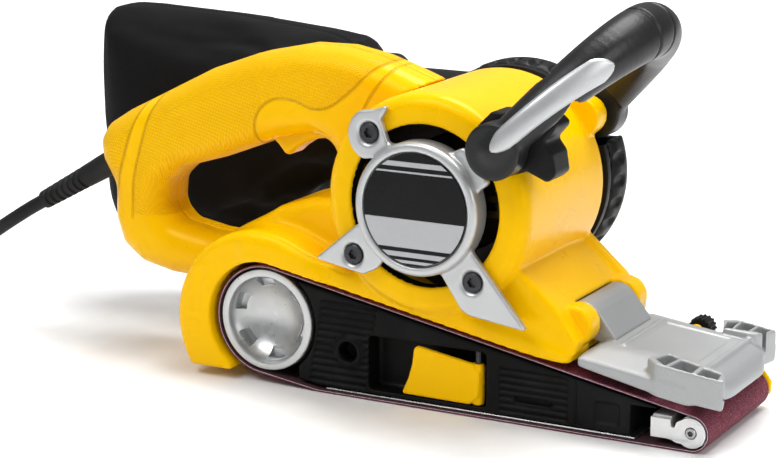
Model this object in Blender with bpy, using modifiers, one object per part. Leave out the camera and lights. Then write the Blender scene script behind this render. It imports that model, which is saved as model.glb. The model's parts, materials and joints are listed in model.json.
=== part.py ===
"""Handheld belt sander: 75 x 533 mm belt, transverse motor, D handle, adjustable front handle.

Frame: +X towards the nose, -Y towards the open side of the belt, +Z up. The origin is the centre of
the flat sanding face, on the surface being sanded. Helpers take millimetres and build in metres.
"""

import math

import bmesh
import bpy
from mathutils import Matrix, Vector

MM = 0.001
GAP = 0.3                       # clearance between neighbouring pieces

# Sanding belt and its rollers
BELT_HALF_WIDTH = 37.5
BELT_THICKNESS = 1.2
WHEEL_X, WHEEL_Z, WHEEL_R = -120.0, 30.5, 25.1      # rear drive roller, to the belt's inner face
NOSE_X, NOSE_Z, NOSE_R = 92.0, 8.5, 7.3             # front roller, to the belt's inner face
HEEL_X, HEEL_Z, HEEL_R = -92.0, 3.2, 2.0            # rear end of the flat run
FRAME_INSET = 1.4               # the belt frame's outline inside the belt's inner face
FRAME_NEAR, FRAME_FAR = -36.3, 38.2
LEVER_PIN_X, LEVER_PIN_Y = -11.0, -33.0
STEM_Z = 11.6                   # height of the tension stem

# Motor
MOTOR_X, MOTOR_Z = -32.5, 96.0
BARREL_R, BARREL_BORE_R, LIP_BORE_R = 50.0, 46.0, 36.5
BARREL_NEAR, BARREL_FAR, LIP_INNER = -46.0, 42.0, -38.0

# Housing
FENDER_X, FENDER_Z, FENDER_R = -122.0, 28.0, 45.3
SIDE_Y = 41.5                   # half width of the block and of the belt guard
BELT_CLEARANCE = 2.4            # between the belt's outer face and the guard
FAR_WALL_Y = 38.5               # inner face of the closed side
COVER_Y, COVER_FAR_Y = 46.3, 68.0
NOTCH_R = 14.6                  # room in the drive cover for the far pivot boss

# Front hood
HINGE_X, HINGE_Z = 33.4, 46.4
LOBE_R, HOOD_BARREL_R, HINGE_PIN_R = 9.3, 8.5, 2.5
HOOD_NEAR_Y, HOOD_FAR_Y = -20.0, 21.0
LOBE_NEAR_Y, LOBE_FAR_Y = -32.0, 33.6     # outer faces of the hinge lobes

# Front handle: a bail on two pivots, one each side of the motor barrel
PIVOT_X, PIVOT_Z = 8.0, 127.0
BAIL_TILT, BAIL_REACH = 46.3, 65.0
BAIL_NEAR_Y, BAIL_FAR_Y = -55.5, 51.0
BAIL_ARM_R, BAIL_GRIP_R = 8.5, 12.5

# D handle
HANDLE_HALF = 17.0
HANDLE_WALL, HANDLE_CAVITY_HALF = 4.5, 11.5
LOCK_X, LOCK_Z = -152.0, 125.0  # lock-on button, on the far side

# Cord
CORD_R = 3.5
COIL_X, COIL_Y = -432.0, -42.0
COIL_MID_R = 38.5
COIL_LAYERS = 3

PART = "belt_sander"


# ---------------------------------------------------------------- scene and materials

for old in list(bpy.data.objects):
    bpy.data.objects.remove(old, do_unlink=True)


def new_collection(name):
    collection = bpy.data.collections.new(name)
    bpy.context.scene.collection.children.link(collection)
    return collection


parts = new_collection(PART)
cutters = new_collection("cutters")


def material(name, colour, roughness, metallic=0.0):
    made = bpy.data.materials.new(name)
    made.use_nodes = True
    shader = made.node_tree.nodes["Principled BSDF"]
    shader.inputs["Base Color"].default_value = (*colour, 1.0)
    shader.inputs["Roughness"].default_value = roughness
    shader.inputs["Metallic"].default_value = metallic
    made.diffuse_color = (*colour, 1.0)
    return made


YELLOW = material("yellow_housing", (0.95, 0.62, 0.02), 0.35)
BLACK = material("black_plastic", (0.02, 0.02, 0.022), 0.45)
SOFT_BLACK = material("soft_grip", (0.03, 0.03, 0.032), 0.6)
SILVER = material("satin_silver", (0.62, 0.64, 0.66), 0.35, 0.6)
STEEL = material("steel", (0.6, 0.6, 0.6), 0.3, 1.0)
DARK_STEEL = material("dark_screws", (0.05, 0.05, 0.05), 0.4, 0.8)
BRASS = material("brass", (0.7, 0.5, 0.2), 0.35, 1.0)
COPPER = material("copper_windings", (0.6, 0.3, 0.15), 0.4, 0.9)
RUBBER = material("rubber", (0.025, 0.025, 0.025), 0.8)
ABRASIVE = material("abrasive", (0.28, 0.08, 0.1), 0.95)
CORK = material("cork", (0.4, 0.26, 0.14), 0.9)
FABRIC = material("bag_fabric", (0.015, 0.015, 0.018), 0.9)


# ---------------------------------------------------------------- outlines, in the XZ plane

def arc(cx, cz, radius, start, end, count):
    """Points on an arc, angles in degrees from +X towards +Z."""
    angles = [math.radians(start + (end - start) * i / (count - 1)) for i in range(count)]
    return [(cx + radius * math.cos(a), cz + radius * math.sin(a)) for a in angles]


def hull(circles, offset=0.0, count=48):
    """Convex outline around circles (x, z, radius), each grown by offset."""
    points = sorted({(round(x, 4), round(z, 4)) for cx, cz, r in circles
                     for x, z in arc(cx, cz, r + offset, 0, 360 - 360 / count, count)})

    def half(run):
        kept = []
        for p in run:
            while len(kept) > 1:
                (ax, az), (bx, bz) = kept[-2:]
                if (bx - ax) * (p[1] - az) - (bz - az) * (p[0] - ax) > 1e-6:
                    break
                kept.pop()
            kept.append(p)
        return kept[:-1]

    return half(points) + half(points[::-1])


def inset(points, distance):
    """The outline moved inwards by distance, corner by corner; points run counter-clockwise."""
    moved = []
    for i, point in enumerate(points):
        here = Vector(point)
        before = (here - Vector(points[i - 1])).normalized()
        after = (Vector(points[(i + 1) % len(points)]) - here).normalized()
        inward = Vector((-before.y, before.x)) + Vector((-after.y, after.x))
        inward.normalize()
        scale = max(0.4, inward.dot(Vector((-before.y, before.x))))
        moved.append(tuple(here + inward * distance / scale))
    return moved


def belt_loop(offset):
    """Outline of the belt's path, offset outwards from the belt's inner face."""
    circles = [(WHEEL_X, WHEEL_Z, WHEEL_R), (NOSE_X, NOSE_Z, NOSE_R), (HEEL_X, HEEL_Z, HEEL_R)]
    return hull(circles, offset, 44)


# ---------------------------------------------------------------- modelling tools

def add(name, mesh, colour, collection=parts):
    made = bpy.data.objects.new(name, mesh)
    collection.objects.link(made)
    if colour:
        made.data.materials.append(colour)
    return made


def settle(source, name, colour):
    """A mesh object holding what source evaluates to; source is removed."""
    bpy.context.view_layer.update()
    evaluated = source.evaluated_get(bpy.context.evaluated_depsgraph_get())
    mesh = bpy.data.meshes.new_from_object(evaluated)
    mesh.transform(source.matrix_world)
    bpy.data.objects.remove(source, do_unlink=True)
    work = bmesh.new()
    work.from_mesh(mesh)
    bmesh.ops.remove_doubles(work, verts=work.verts, dist=0.00001)
    bmesh.ops.recalc_face_normals(work, faces=work.faces)
    work.to_mesh(mesh)
    work.free()
    mesh.materials.clear()
    return add(name, mesh, colour)


def plate(name, outlines, y_low, y_high, colour=None):
    """A flat outline in the XZ plane, with any holes after it, as thick as from y_low to y_high."""
    curve = bpy.data.curves.new(name, "CURVE")
    curve.dimensions = "2D"
    curve.fill_mode = "BOTH"
    curve.extrude = (y_high - y_low) / 2 * MM
    for outline in outlines:
        spline = curve.splines.new("POLY")
        spline.points.add(len(outline) - 1)
        spline.use_cyclic_u = True
        for point, (x, z) in zip(spline.points, outline):
            point.co = (x * MM, z * MM, 0, 1)
    flat = bpy.data.objects.new(name, curve)
    parts.objects.link(flat)
    flat.rotation_euler = (math.pi / 2, 0, 0)
    flat.location = (0, (y_low + y_high) / 2 * MM, 0)
    return settle(flat, name, colour)


def turned(name, profile, centre, colour=None, axis="Y", steps=40):
    """A closed profile of (radius, distance along the axis), turned about an axis through centre."""
    mesh = bpy.data.meshes.new(name)
    loop = [(r * MM, 0, h * MM) for r, h in profile]
    count = len(loop)
    closed = min(r for r, _ in profile) > 0
    edges = [(i, (i + 1) % count) for i in range(count if closed else count - 1)]
    mesh.from_pydata(loop, edges, [])
    solid = bpy.data.objects.new(name, mesh)
    parts.objects.link(solid)
    screw = solid.modifiers.new("turn", "SCREW")
    screw.steps = steps
    screw.render_steps = steps
    screw.use_merge_vertices = True
    screw.merge_threshold = 0.00001
    turn = {"Y": (-math.pi / 2, 0, 0), "X": (0, math.pi / 2, 0), "Z": (0, 0, 0)}[axis]
    solid.rotation_euler = turn
    solid.location = [c * MM for c in centre]
    return settle(solid, name, colour)


def rod(name, x, z, radius, y_low, y_high, colour=None, steps=32):
    """A cylinder along Y."""
    bpy.ops.mesh.primitive_cylinder_add(
        vertices=steps, radius=radius * MM, depth=(y_high - y_low) * MM,
        location=(x * MM, (y_low + y_high) / 2 * MM, z * MM), rotation=(math.pi / 2, 0, 0))
    return settle(bpy.context.active_object, name, colour)


def bar(name, start, end, radius, colour=None, steps=24, end_radius=None):
    """A cylinder or cone between two points."""
    a, b = Vector(start) * MM, Vector(end) * MM
    bpy.ops.mesh.primitive_cone_add(
        vertices=steps, radius1=radius * MM, depth=(b - a).length,
        radius2=(radius if end_radius is None else end_radius) * MM, location=(a + b) / 2)
    made = bpy.context.active_object
    made.rotation_mode = "QUATERNION"
    made.rotation_quaternion = (b - a).to_track_quat("Z", "Y")
    return settle(made, name, colour)


def box(name, low, high, colour=None, rounding=0.0):
    """A box between two corners, its edges rounded where asked."""
    size = [(b - a) * MM for a, b in zip(low, high)]
    bpy.ops.mesh.primitive_cube_add(size=1, location=[(a + b) / 2 * MM for a, b in zip(low, high)])
    made = bpy.context.active_object
    made.data.transform(Matrix.Diagonal((*size, 1)))
    if rounding:
        bevel = made.modifiers.new("round", "BEVEL")
        bevel.width = rounding * MM
        bevel.segments = 2
    return settle(made, name, colour)


def wedge(name, corners, colour=None):
    """The convex solid around a set of corners."""
    work = bmesh.new()
    for corner in corners:
        work.verts.new(Vector(corner) * MM)
    bmesh.ops.convex_hull(work, input=work.verts)
    bmesh.ops.recalc_face_normals(work, faces=work.faces)
    mesh = bpy.data.meshes.new(name)
    work.to_mesh(mesh)
    work.free()
    return add(name, mesh, colour)


def tube(name, route, radius, colour, resolution=3, radii=None):
    """A round bar along a route of points."""
    curve = bpy.data.curves.new(name, "CURVE")
    curve.dimensions = "3D"
    curve.bevel_depth = radius * MM
    curve.bevel_resolution = resolution
    curve.use_fill_caps = True
    spline = curve.splines.new("POLY")
    spline.points.add(len(route) - 1)
    for i, (point, place) in enumerate(zip(spline.points, route)):
        point.co = (*(Vector(place) * MM), 1)
        point.radius = radii[i] if radii else 1.0
    bent = bpy.data.objects.new(name, curve)
    parts.objects.link(bent)
    return settle(bent, name, colour)


def combine(target, tool, operation):
    modifier = target.modifiers.new(tool.name, "BOOLEAN")
    modifier.operation = operation
    modifier.solver = "EXACT"
    modifier.object = tool
    tool.hide_render = True
    tool.display_type = "WIRE"
    for collection in list(tool.users_collection):
        collection.objects.unlink(tool)
    cutters.objects.link(tool)


def cut(target, *tools):
    for tool in tools:
        combine(target, tool, "DIFFERENCE")


def join(target, *tools):
    for tool in tools:
        combine(target, tool, "UNION")


def round_edges(target, width, segments, y_low, y_high):
    """Rounds the rim edges of a plate that lie in its faces at y_low and y_high."""
    bevel = target.modifiers.new("rim", "BEVEL")
    bevel.width = width * MM
    bevel.segments = segments
    bevel.limit_method = "WEIGHT"
    weights = target.data.attributes.new("bevel_weight_edge", "FLOAT", "EDGE")
    verts = target.data.vertices
    middle, half = (y_low + y_high) / 2 * MM, (y_high - y_low) / 2 * MM
    for edge in target.data.edges:
        nearest = min(abs(verts[i].co.y - middle) for i in edge.vertices)
        weights.data[edge.index].value = 1.0 if nearest > 0.999 * half else 0.0


def smooth(target):
    target.data.shade_smooth()
    target.data.set_sharp_from_angle(angle=math.radians(35))
    return target


def spline_route(stops, count):
    """A smooth curve through stops, as count evenly spread points (Catmull-Rom)."""
    stops = [Vector(s) for s in stops]
    padded = [stops[0] * 2 - stops[1]] + stops + [stops[-1] * 2 - stops[-2]]
    dense = []
    for i in range(1, len(padded) - 2):
        a, b, c, d = padded[i - 1:i + 3]
        for k in range(20):
            t = k / 20
            dense.append(0.5 * (2 * b + (c - a) * t + (2 * a - 5 * b + 4 * c - d) * t * t
                                + (3 * b - a - 3 * c + d) * t ** 3))
    dense.append(stops[-1])
    lengths = [0.0]
    for a, b in zip(dense, dense[1:]):
        lengths.append(lengths[-1] + (b - a).length)
    route = []
    for i in range(count):
        wanted = lengths[-1] * i / (count - 1)
        k = max(j for j, length in enumerate(lengths) if length <= wanted + 1e-9)
        k = min(k, len(dense) - 2)
        share = (wanted - lengths[k]) / (lengths[k + 1] - lengths[k])
        route.append(tuple(dense[k].lerp(dense[k + 1], share)))
    return route


# ---------------------------------------------------------------- belt, rollers and belt frame

def build_belt():
    plate("sanding_belt", [belt_loop(BELT_THICKNESS), belt_loop(0)],
          -BELT_HALF_WIDTH, BELT_HALF_WIDTH, ABRASIVE)


def build_drive_roller():
    near, far = -37.0, 37.0
    drum_r, flange_r, lagging_r, bore_r = 22.4, 24.3, WHEEL_R - GAP, 6.3
    drum = [(bore_r, far), (drum_r, far), (drum_r, near + 3.2), (flange_r, near + 3.2),
            (flange_r, near), (21.0, near), (18.0, near + 4.5), (13.0, near + 3.5),
            (bore_r, near + 2.5)]
    smooth(turned("drive_roller", drum, (WHEEL_X, 0, WHEEL_Z), SILVER, steps=26))
    lagging = [(drum_r + GAP, near + 3.5), (lagging_r, near + 3.5), (lagging_r, far - 0.5),
               (drum_r + GAP, far - 0.5)]
    smooth(turned("roller_lagging", lagging, (WHEEL_X, 0, WHEEL_Z), RUBBER, steps=32))
    shaft = [(0, near + 1.6), (8.5, near + 1.6), (8.5, near + 2.2), (bore_r - GAP, near + 2.2),
             (bore_r - GAP, 39.5), (5.0, 39.5), (5.0, 62.0), (0, 62.0)]
    smooth(turned("drive_shaft", shaft, (WHEEL_X, 0, WHEEL_Z), STEEL, steps=14))


def build_nose():
    half, bore_r, axle_r = 34.7, 2.7, 2.4
    cheek_in, cheek_out = 35.1, 37.3
    roller = [(bore_r, -half), (NOSE_R - GAP, -half), (NOSE_R - GAP, half), (bore_r, half)]
    smooth(turned("front_roller", roller, (NOSE_X, 0, NOSE_Z), STEEL, steps=20))
    smooth(rod("front_axle", NOSE_X, NOSE_Z, axle_r, -37.9, 37.4, STEEL, 12))
    yoke = box("roller_yoke", (73.5, 0.1 - cheek_out, 3.6), (83.0, cheek_out - 0.1, 14.4), STEEL)
    for low, high in ((-cheek_out, -cheek_in), (cheek_in, cheek_out)):
        cheek = plate("yoke_cheek", [hull([(NOSE_X, NOSE_Z, 6.4), (82.0, 8.4, 4.2)], 0, 14)], low, high)
        join(yoke, cheek)
    join(yoke, bar("yoke_stem", (12.0, 0, STEM_Z), (75.0, 0, STEM_Z), 2.5, steps=10),
         bar("yoke_collar", (44.5, 0, STEM_Z), (47.5, 0, STEM_Z), 5.2, steps=12))
    cut(yoke, rod("axle_hole", NOSE_X, NOSE_Z, axle_r + GAP, -40, 40, None, 12))
    turns, spring_r, wire_r, sides = 6, 4.0, 0.65, 8
    start, end = 19.5, 43.2
    coil = []
    for i in range(turns * sides + 1):
        angle = 2 * math.pi * i / sides
        coil.append((start + (end - start) * i / (turns * sides),
                     spring_r * math.cos(angle), STEM_Z + spring_r * math.sin(angle)))
    tube("tension_spring", coil, wire_r, STEEL, 0)


def build_belt_frame():
    frame = plate("belt_frame", [belt_loop(-FRAME_INSET)], FRAME_NEAR, FRAME_FAR, BLACK)
    rear = rod("wheel_room", WHEEL_X, WHEEL_Z, WHEEL_R + 1.0, FRAME_NEAR - 5, FRAME_FAR + 5)
    front = box("nose_room", (63.5, -50, -5), (120, 50, 40))
    lever_room = box("lever_recess", (-66.0, FRAME_NEAR - 5, 4.6), (-6.0, -25.5, 30.0), rounding=2.0)
    hollow = box("frame_hollow", (-66.0, -19.5, 5.2), (58.5, 32.0, 60.0))
    pad_room = box("pad_pocket", (-84.0, -33.3, 0), (60.3, 33.3, 3.9))
    hole = rod("frame_hole", -76.2, 21.1, 4.7, FRAME_NEAR - 5, FRAME_NEAR + 8, None, 24)
    stem_hole = bar("stem_hole", (50, 0, STEM_Z), (70, 0, STEM_Z), 2.9, steps=16)
    pin_top = (LEVER_PIN_X, LEVER_PIN_Y, 32.2)
    pin_hole = bar("pin_hole", (LEVER_PIN_X, LEVER_PIN_Y, 20), pin_top, 1.8, steps=12)
    cut(frame, rear, front, lever_room, hollow, pad_room, hole, stem_hole, pin_hole)
    box("platen_pad", (-83.7, -33.0, 2.65), (60.0, 33.0, 3.6), CORK)
    box("platen", (-88.0, -36.5, 1.55), (66.0, 36.5, 2.3), STEEL)


def build_tension_lever():
    pin_x, pin_y = LEVER_PIN_X, LEVER_PIN_Y
    outline = [(-47.6, 5.2), (-14.0, 5.0), (-9.4, 8.8), (-9.0, 20.0), (-12.0, 24.0), (-41.0, 28.6),
               (-42.4, 27.0), (-43.2, 20.0), (-45.2, 13.0), (-48.2, 6.4)]
    lever = plate("tension_lever", [outline], -36.8, -33.3, YELLOW)
    join(lever, bar("knuckle", (pin_x, pin_y, 6.5), (pin_x, pin_y, 22.0), 3.0, steps=16))
    cut(lever, bar("knuckle_bore", (pin_x, pin_y, 0), (pin_x, pin_y, 30), 1.8, steps=12))
    smooth(bar("lever_pin", (pin_x, pin_y, 4.9), (pin_x, pin_y, 31.8), 1.5, STEEL, 12))


# ---------------------------------------------------------------- housing

def guard_circles():
    """Belt guard along the top run of the belt, seen from the side."""
    return [(-125, 64, 6.5), (-112, 63, 6.0), (-78, 55, 4.5), (34, 35.6, 3.2), (34, 34.5, 2.8),
            (-120, 45, 12)]


def saddle_circles():
    """Raised middle of the guard, between the belt and the D handle."""
    return [(-146, 60, 4), (-120, 77, 5), (-104, 82.5, 5), (-84, 84.5, 5), (-84, 60, 5)]


def arm_outlines():
    """The three arms of the hub cover and the stub behind the handle's pivot."""
    claw = [(-44, 118)] + arc(-56.5, 126.5, 12.0, 250, 120, 6) + [
        (-55, 138.0), (-48.0, 140.6), (-52, 133.5), (-48.5, 124), (-40, 120)]
    rear = [(-54, 82), (-63.6, 85.7), (-85.0, 67.8), (-84, 66.8), (-60.8, 62.6), (-54, 66), (-46, 76)]
    front = [(-23.5, 69.5), (-17, 60), (-12, 52.5), (-8, 50.3), (18.6, 46.8), (19.0, 47.8),
             (-8.3, 80.7), (-14, 84)]
    stub = [(-18.3, 114), (-19, 121.5), (-11.6, 125), (1.2, 110.2), (-4.7, 105.6), (-12, 108)]
    return [claw, rear, front, stub]


def screw_places():
    return [(-58.0, 127.2), (-66.1, 71.2), (-6.6, 65.4)]


def build_main_housing():
    housing = rod("main_housing", MOTOR_X, MOTOR_Z, BARREL_R, BARREL_NEAR, BARREL_FAR, YELLOW, 48)
    corners = [(x, y, z) for y in (-SIDE_Y + 1.5, SIDE_Y - 0.5)
               for x, z in ((2.9, 78.5), (30.0, 55.5), (32.0, 52.0), (32.0, 33.0), (-75, 47),
                            (-70, 62), (-30, 84))]
    block = wedge("block", corners)
    guard = plate("guard", [hull(guard_circles(), 0, 12)], -SIDE_Y, SIDE_Y)
    fender = rod("fender", FENDER_X, FENDER_Z, FENDER_R, -SIDE_Y - 0.3, SIDE_Y - 0.3, None, 44)
    saddle = plate("saddle", [hull(saddle_circles(), 0, 12)], -24, 24)
    wall_line = [(-150, 3.2), (96, 3.2), (100.5, 6.5), (101, 12.0), (97, 17.0), (60, 24.8), (36, 32.8),
                 (-100, 60)]
    far_wall = plate("far_wall", [wall_line], FAR_WALL_Y - 1.5, BARREL_FAR - 0.1)
    knob_tab = plate("knob_tab", [hull([(64, 30.5, 4.6), (61.5, 20, 6.0)], 0, 14)], FAR_WALL_Y + 0.2,
                     BARREL_FAR - 0.3)
    lobes = [plate("lobe", [hull([(HINGE_X, HINGE_Z, LOBE_R), (24, 42, 8)], 0, 22)], low, high)
             for low, high in ((LOBE_NEAR_Y, HOOD_NEAR_Y - 0.2), (HOOD_FAR_Y + 0.2, LOBE_FAR_Y))]
    rib_line = [(29.7, 55.2), (39.8, 41.0), (38.4, 35.5), (24, 36), (16, 55)]
    ribs = [plate("lobe_rib", [rib_line], low, high)
            for low, high in ((-SIDE_Y + 1.2, LOBE_NEAR_Y + 0.2), (LOBE_FAR_Y - 0.2, SIDE_Y - 0.8))]
    pads = [plate("arm_pad", [outline], BARREL_NEAR + 0.15, -36) for outline in arm_outlines()[1:3]]
    lugs = [rod("handle_lug", PIVOT_X, PIVOT_Z, 9.0, low, high, None, 16)
            for low, high in ((BARREL_NEAR + 0.25, -34.0), (30.0, BARREL_FAR - 0.2))]
    join(housing, block, guard, fender, saddle, far_wall, knob_tab, *lobes, *ribs, *pads, *lugs)

    grown = BELT_THICKNESS + BELT_CLEARANCE
    belt_room = plate("belt_room", [belt_loop(grown)], -60, FAR_WALL_Y)
    ground = box("under_fender", (-200, -60, -30), (-70, FAR_WALL_Y, 1.2))
    fender_tip = box("behind_tip", (-137.5, -60, -10), (-60, FAR_WALL_Y, 12.0))
    wall_foot = box("wall_foot", (-200, 30, -30), (120, 60, 3.0))
    bore = rod("bore", MOTOR_X, MOTOR_Z, BARREL_BORE_R, LIP_INNER, 60, None, 36)
    lip_bore = rod("lip_bore", MOTOR_X, MOTOR_Z, LIP_BORE_R, -70, 0, None, 32)
    shaft_hole = rod("shaft_hole", WHEEL_X, WHEEL_Z, 9.3, 30, 60, None, 18)
    hood_room = rod("hood_room", HINGE_X, HINGE_Z, HOOD_BARREL_R + 0.6, HOOD_NEAR_Y - 0.4,
                    HOOD_FAR_Y + 0.4, None, 24)
    hood_front = box("hood_front", (HINGE_X, HOOD_NEAR_Y - 0.4, 30), (70, HOOD_FAR_Y + 0.4, 70))
    pin_bore = rod("hinge_bore", HINGE_X, HINGE_Z, HINGE_PIN_R + GAP, LOBE_NEAR_Y + 0.2,
                   LOBE_FAR_Y - 0.3, None, 14)
    screws = [rod("screw_bore", x, z, 2.7, -60, LIP_INNER + 6, None, 8) for x, z in screw_places()]
    bolts = [rod("bolt_bore", PIVOT_X, PIVOT_Z, 4.3, low, high, None, 12)
             for low, high in ((-60, -38.0), (34.0, 60))]
    knob_bore = rod("knob_bore", 64, 30.5, 2.3, 30, 60, None, 10)
    cut(housing, belt_room, ground, fender_tip, wall_foot, bore, lip_bore, shaft_hole, hood_room,
        hood_front, pin_bore, *screws, *bolts, knob_bore)


def build_hub():
    face_y = -55.0
    cup = [(11.3, face_y + 5.5), (11.3, -45.0), (14.5, -45.0), (14.5, face_y + 4.0),
           (26.8, face_y + 4.0), (26.8, -42.5), (29.6, -42.5), (30.0, face_y + 1.2),
           (28.8, face_y), (26.2, face_y), (25.6, face_y + 1.4), (3.0, face_y + 1.4),
           (3.0, face_y + 5.5)]
    cover = turned("hub_cover", cup, (MOTOR_X, 0, MOTOR_Z), SILVER, steps=28)
    for outline in arm_outlines():
        blade = plate("arm", [outline], -50.0, BARREL_NEAR - GAP)
        cut(blade, rod("arm_root", MOTOR_X, MOTOR_Z, 28.3, -60, -40, None, 28))
        join(cover, blade)
    cut(cover, *[rod("head_room", x, z, 4.9, -60, -47.9, None, 12) for x, z in screw_places()],
        *[rod("shank_room", x, z, 2.7, -60, -40, None, 8) for x, z in screw_places()])
    smooth(rod("hub_badge", MOTOR_X, MOTOR_Z, 25.2, face_y + 0.2, face_y + 1.1, BLACK, 32))
    for i, (x, z) in enumerate(screw_places(), 1):
        head = [(0, -47.0), (1.9, -47.0), (1.9, -50.2), (4.6, -50.2), (4.6, -48.2), (2.4, -48.2),
                (2.4, -34.0), (0, -34.0)]
        smooth(turned(f"hub_screw_{i}", head, (x, 0, z), DARK_STEEL, steps=10))


# ---------------------------------------------------------------- motor and drive

def build_motor():
    centre = (MOTOR_X, 0, MOTOR_Z)
    stator = [(27.5, -12.0), (45.6, -12.0), (45.6, 28.0), (27.5, 28.0)]
    smooth(turned("stator", stator, centre, COPPER, steps=24))
    rotor = [(0, -49.0), (5.0, -49.0), (5.0, -36.0), (13.0, -36.0), (13.0, -19.0), (7.0, -19.0),
             (7.0, -13.0), (19.0, -12.0), (26.7, -8.0), (26.7, 24.0), (19.0, 28.0), (7.0, 29.0),
             (5.0, 30.0), (5.0, 64.0), (0, 64.0)]
    smooth(turned("armature", rotor, centre, COPPER, steps=14))
    fan = turned("motor_fan", [(5.3, 31.0), (43.0, 31.0), (43.0, 33.0), (12.0, 33.0), (12.0, 37.0),
                               (5.3, 37.0)], centre, BLACK, steps=20)
    for i in range(6):
        angle = 2 * math.pi * i / 6
        inner = (MOTOR_X + 15 * math.cos(angle), MOTOR_Z + 15 * math.sin(angle))
        outer = (MOTOR_X + 41 * math.cos(angle + 0.35), MOTOR_Z + 41 * math.sin(angle + 0.35))
        side = Vector((inner[1] - outer[1], outer[0] - inner[0])).normalized() * 0.8
        blade = [(inner[0] + side.x, inner[1] + side.y), (outer[0] + side.x, outer[1] + side.y),
                 (outer[0] - side.x, outer[1] - side.y), (inner[0] - side.x, inner[1] - side.y)]
        join(fan, plate("blade", [blade], 32.5, 37.5))
    for name, low, high in (("motor_bearing_near", -49.2, -45.2), ("motor_bearing_far", 42.4, 48.4)):
        ring = [(5.3, low), (11.0, low), (11.0, high), (5.3, high)]
        smooth(turned(name, ring, centre, STEEL, steps=18))
    for side, name in ((1, "brush_holder_front"), (-1, "brush_holder_rear")):
        pieces = []
        for label, inner, outer, half in ((name, 13.6, 36.0, 5.0), ("foot", 35.0, 44.8, 8.0),
                                          ("spring_slot", 24.0, 29.0, 2.0)):
            ends = sorted((MOTOR_X + side * inner, MOTOR_X + side * outer))
            depth = -20.0 if label == "spring_slot" else -24.0
            pieces.append(box(label, (ends[0], -32.0, MOTOR_Z - half), (ends[1], depth, MOTOR_Z + half)))
        holder, foot, spring_slot = pieces
        holder.data.materials.append(BRASS)
        join(holder, foot)
        cut(holder, spring_slot)


def drive_circles():
    """Outline of the drive cover: round the motor pulley and round the driven pulley."""
    return [(MOTOR_X, MOTOR_Z, 50.0), (WHEEL_X, WHEEL_Z, 27.0)]


def build_drive():
    gear_plate = plate("gear_plate", [hull(drive_circles(), 0, 32)], BARREL_FAR + GAP, COVER_Y - GAP, BLACK)
    cut(gear_plate, rod("motor_seat", MOTOR_X, MOTOR_Z, 11.3, 30, 60, None, 20),
        rod("shaft_seat", WHEEL_X, WHEEL_Z, 9.3, 30, 60, None, 18),
        rod("plate_notch", PIVOT_X, PIVOT_Z, NOTCH_R + 1.4, 30, 60, None, 20))
    smooth(turned("roller_bearing", [(5.3, 41.0), (9.0, 41.0), (9.0, 46.0), (5.3, 46.0)],
                  (WHEEL_X, 0, WHEEL_Z), STEEL, steps=16))
    for name, x, z, radius, low in (("motor_pulley", MOTOR_X, MOTOR_Z, 10.0, 49.0),
                                    ("driven_pulley", WHEEL_X, WHEEL_Z, 20.0, 47.0)):
        rim = [(5.3, low), (radius + 2, low), (radius + 2, 50.0), (radius, 50.0), (radius, 60.0),
               (radius + 2, 60.0), (radius + 2, 61.5), (5.3, 61.5)]
        smooth(turned(name, rim, (x, 0, z), STEEL, steps=16))
    path = [(MOTOR_X, MOTOR_Z, 10.0), (WHEEL_X, WHEEL_Z, 20.0)]
    plate("timing_belt", [hull(path, 1.9, 28), hull(path, GAP, 28)], 50.6, 59.4, RUBBER)

    cover = plate("drive_cover", [hull(drive_circles(), 1.6, 36)], COVER_Y, COVER_FAR_Y, BLACK)
    inside = plate("cover_inside", [hull(drive_circles(), -1.6, 28)], 30, COVER_FAR_Y - 3.0)
    cut(cover, inside, rod("cover_notch", PIVOT_X, PIVOT_Z, NOTCH_R, 30, 80, None, 20))
    for i in range(6):
        angle = math.radians(55 + 35 * i)
        x, z = MOTOR_X + 54 * math.cos(angle), MOTOR_Z + 54 * math.sin(angle)
        cut(cover, bar("vent", (x, 60, z), (x, 90, z), 4.2, steps=6))
    posts = [(MOTOR_X - 36, MOTOR_Z + 25), (MOTOR_X + 25, MOTOR_Z - 36), (-84.0, 57.5)]
    for i, (x, z) in enumerate(posts, 1):
        join(cover, rod("cover_post", x, z, 4.0, COVER_Y, COVER_FAR_Y - 1.0, None, 12))
        cut(cover, rod("post_bore", x, z, 1.9, 30, 90, None, 8),
            rod("post_head", x, z, 3.5, COVER_FAR_Y - 1.5, 90, None, 10))
        cut(gear_plate, rod("plate_bore", x, z, 1.9, 30, 90, None, 8))
        screw = [(0, 44.0), (1.6, 44.0), (1.6, COVER_FAR_Y - 1.8 + GAP + 0.3), (3.2, COVER_FAR_Y - 1.2),
                 (3.2, COVER_FAR_Y + 0.4), (0, COVER_FAR_Y + 0.4)]
        smooth(turned(f"cover_screw_{i}", screw, (x, 0, z), DARK_STEEL, steps=8))


# ---------------------------------------------------------------- hood

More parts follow.
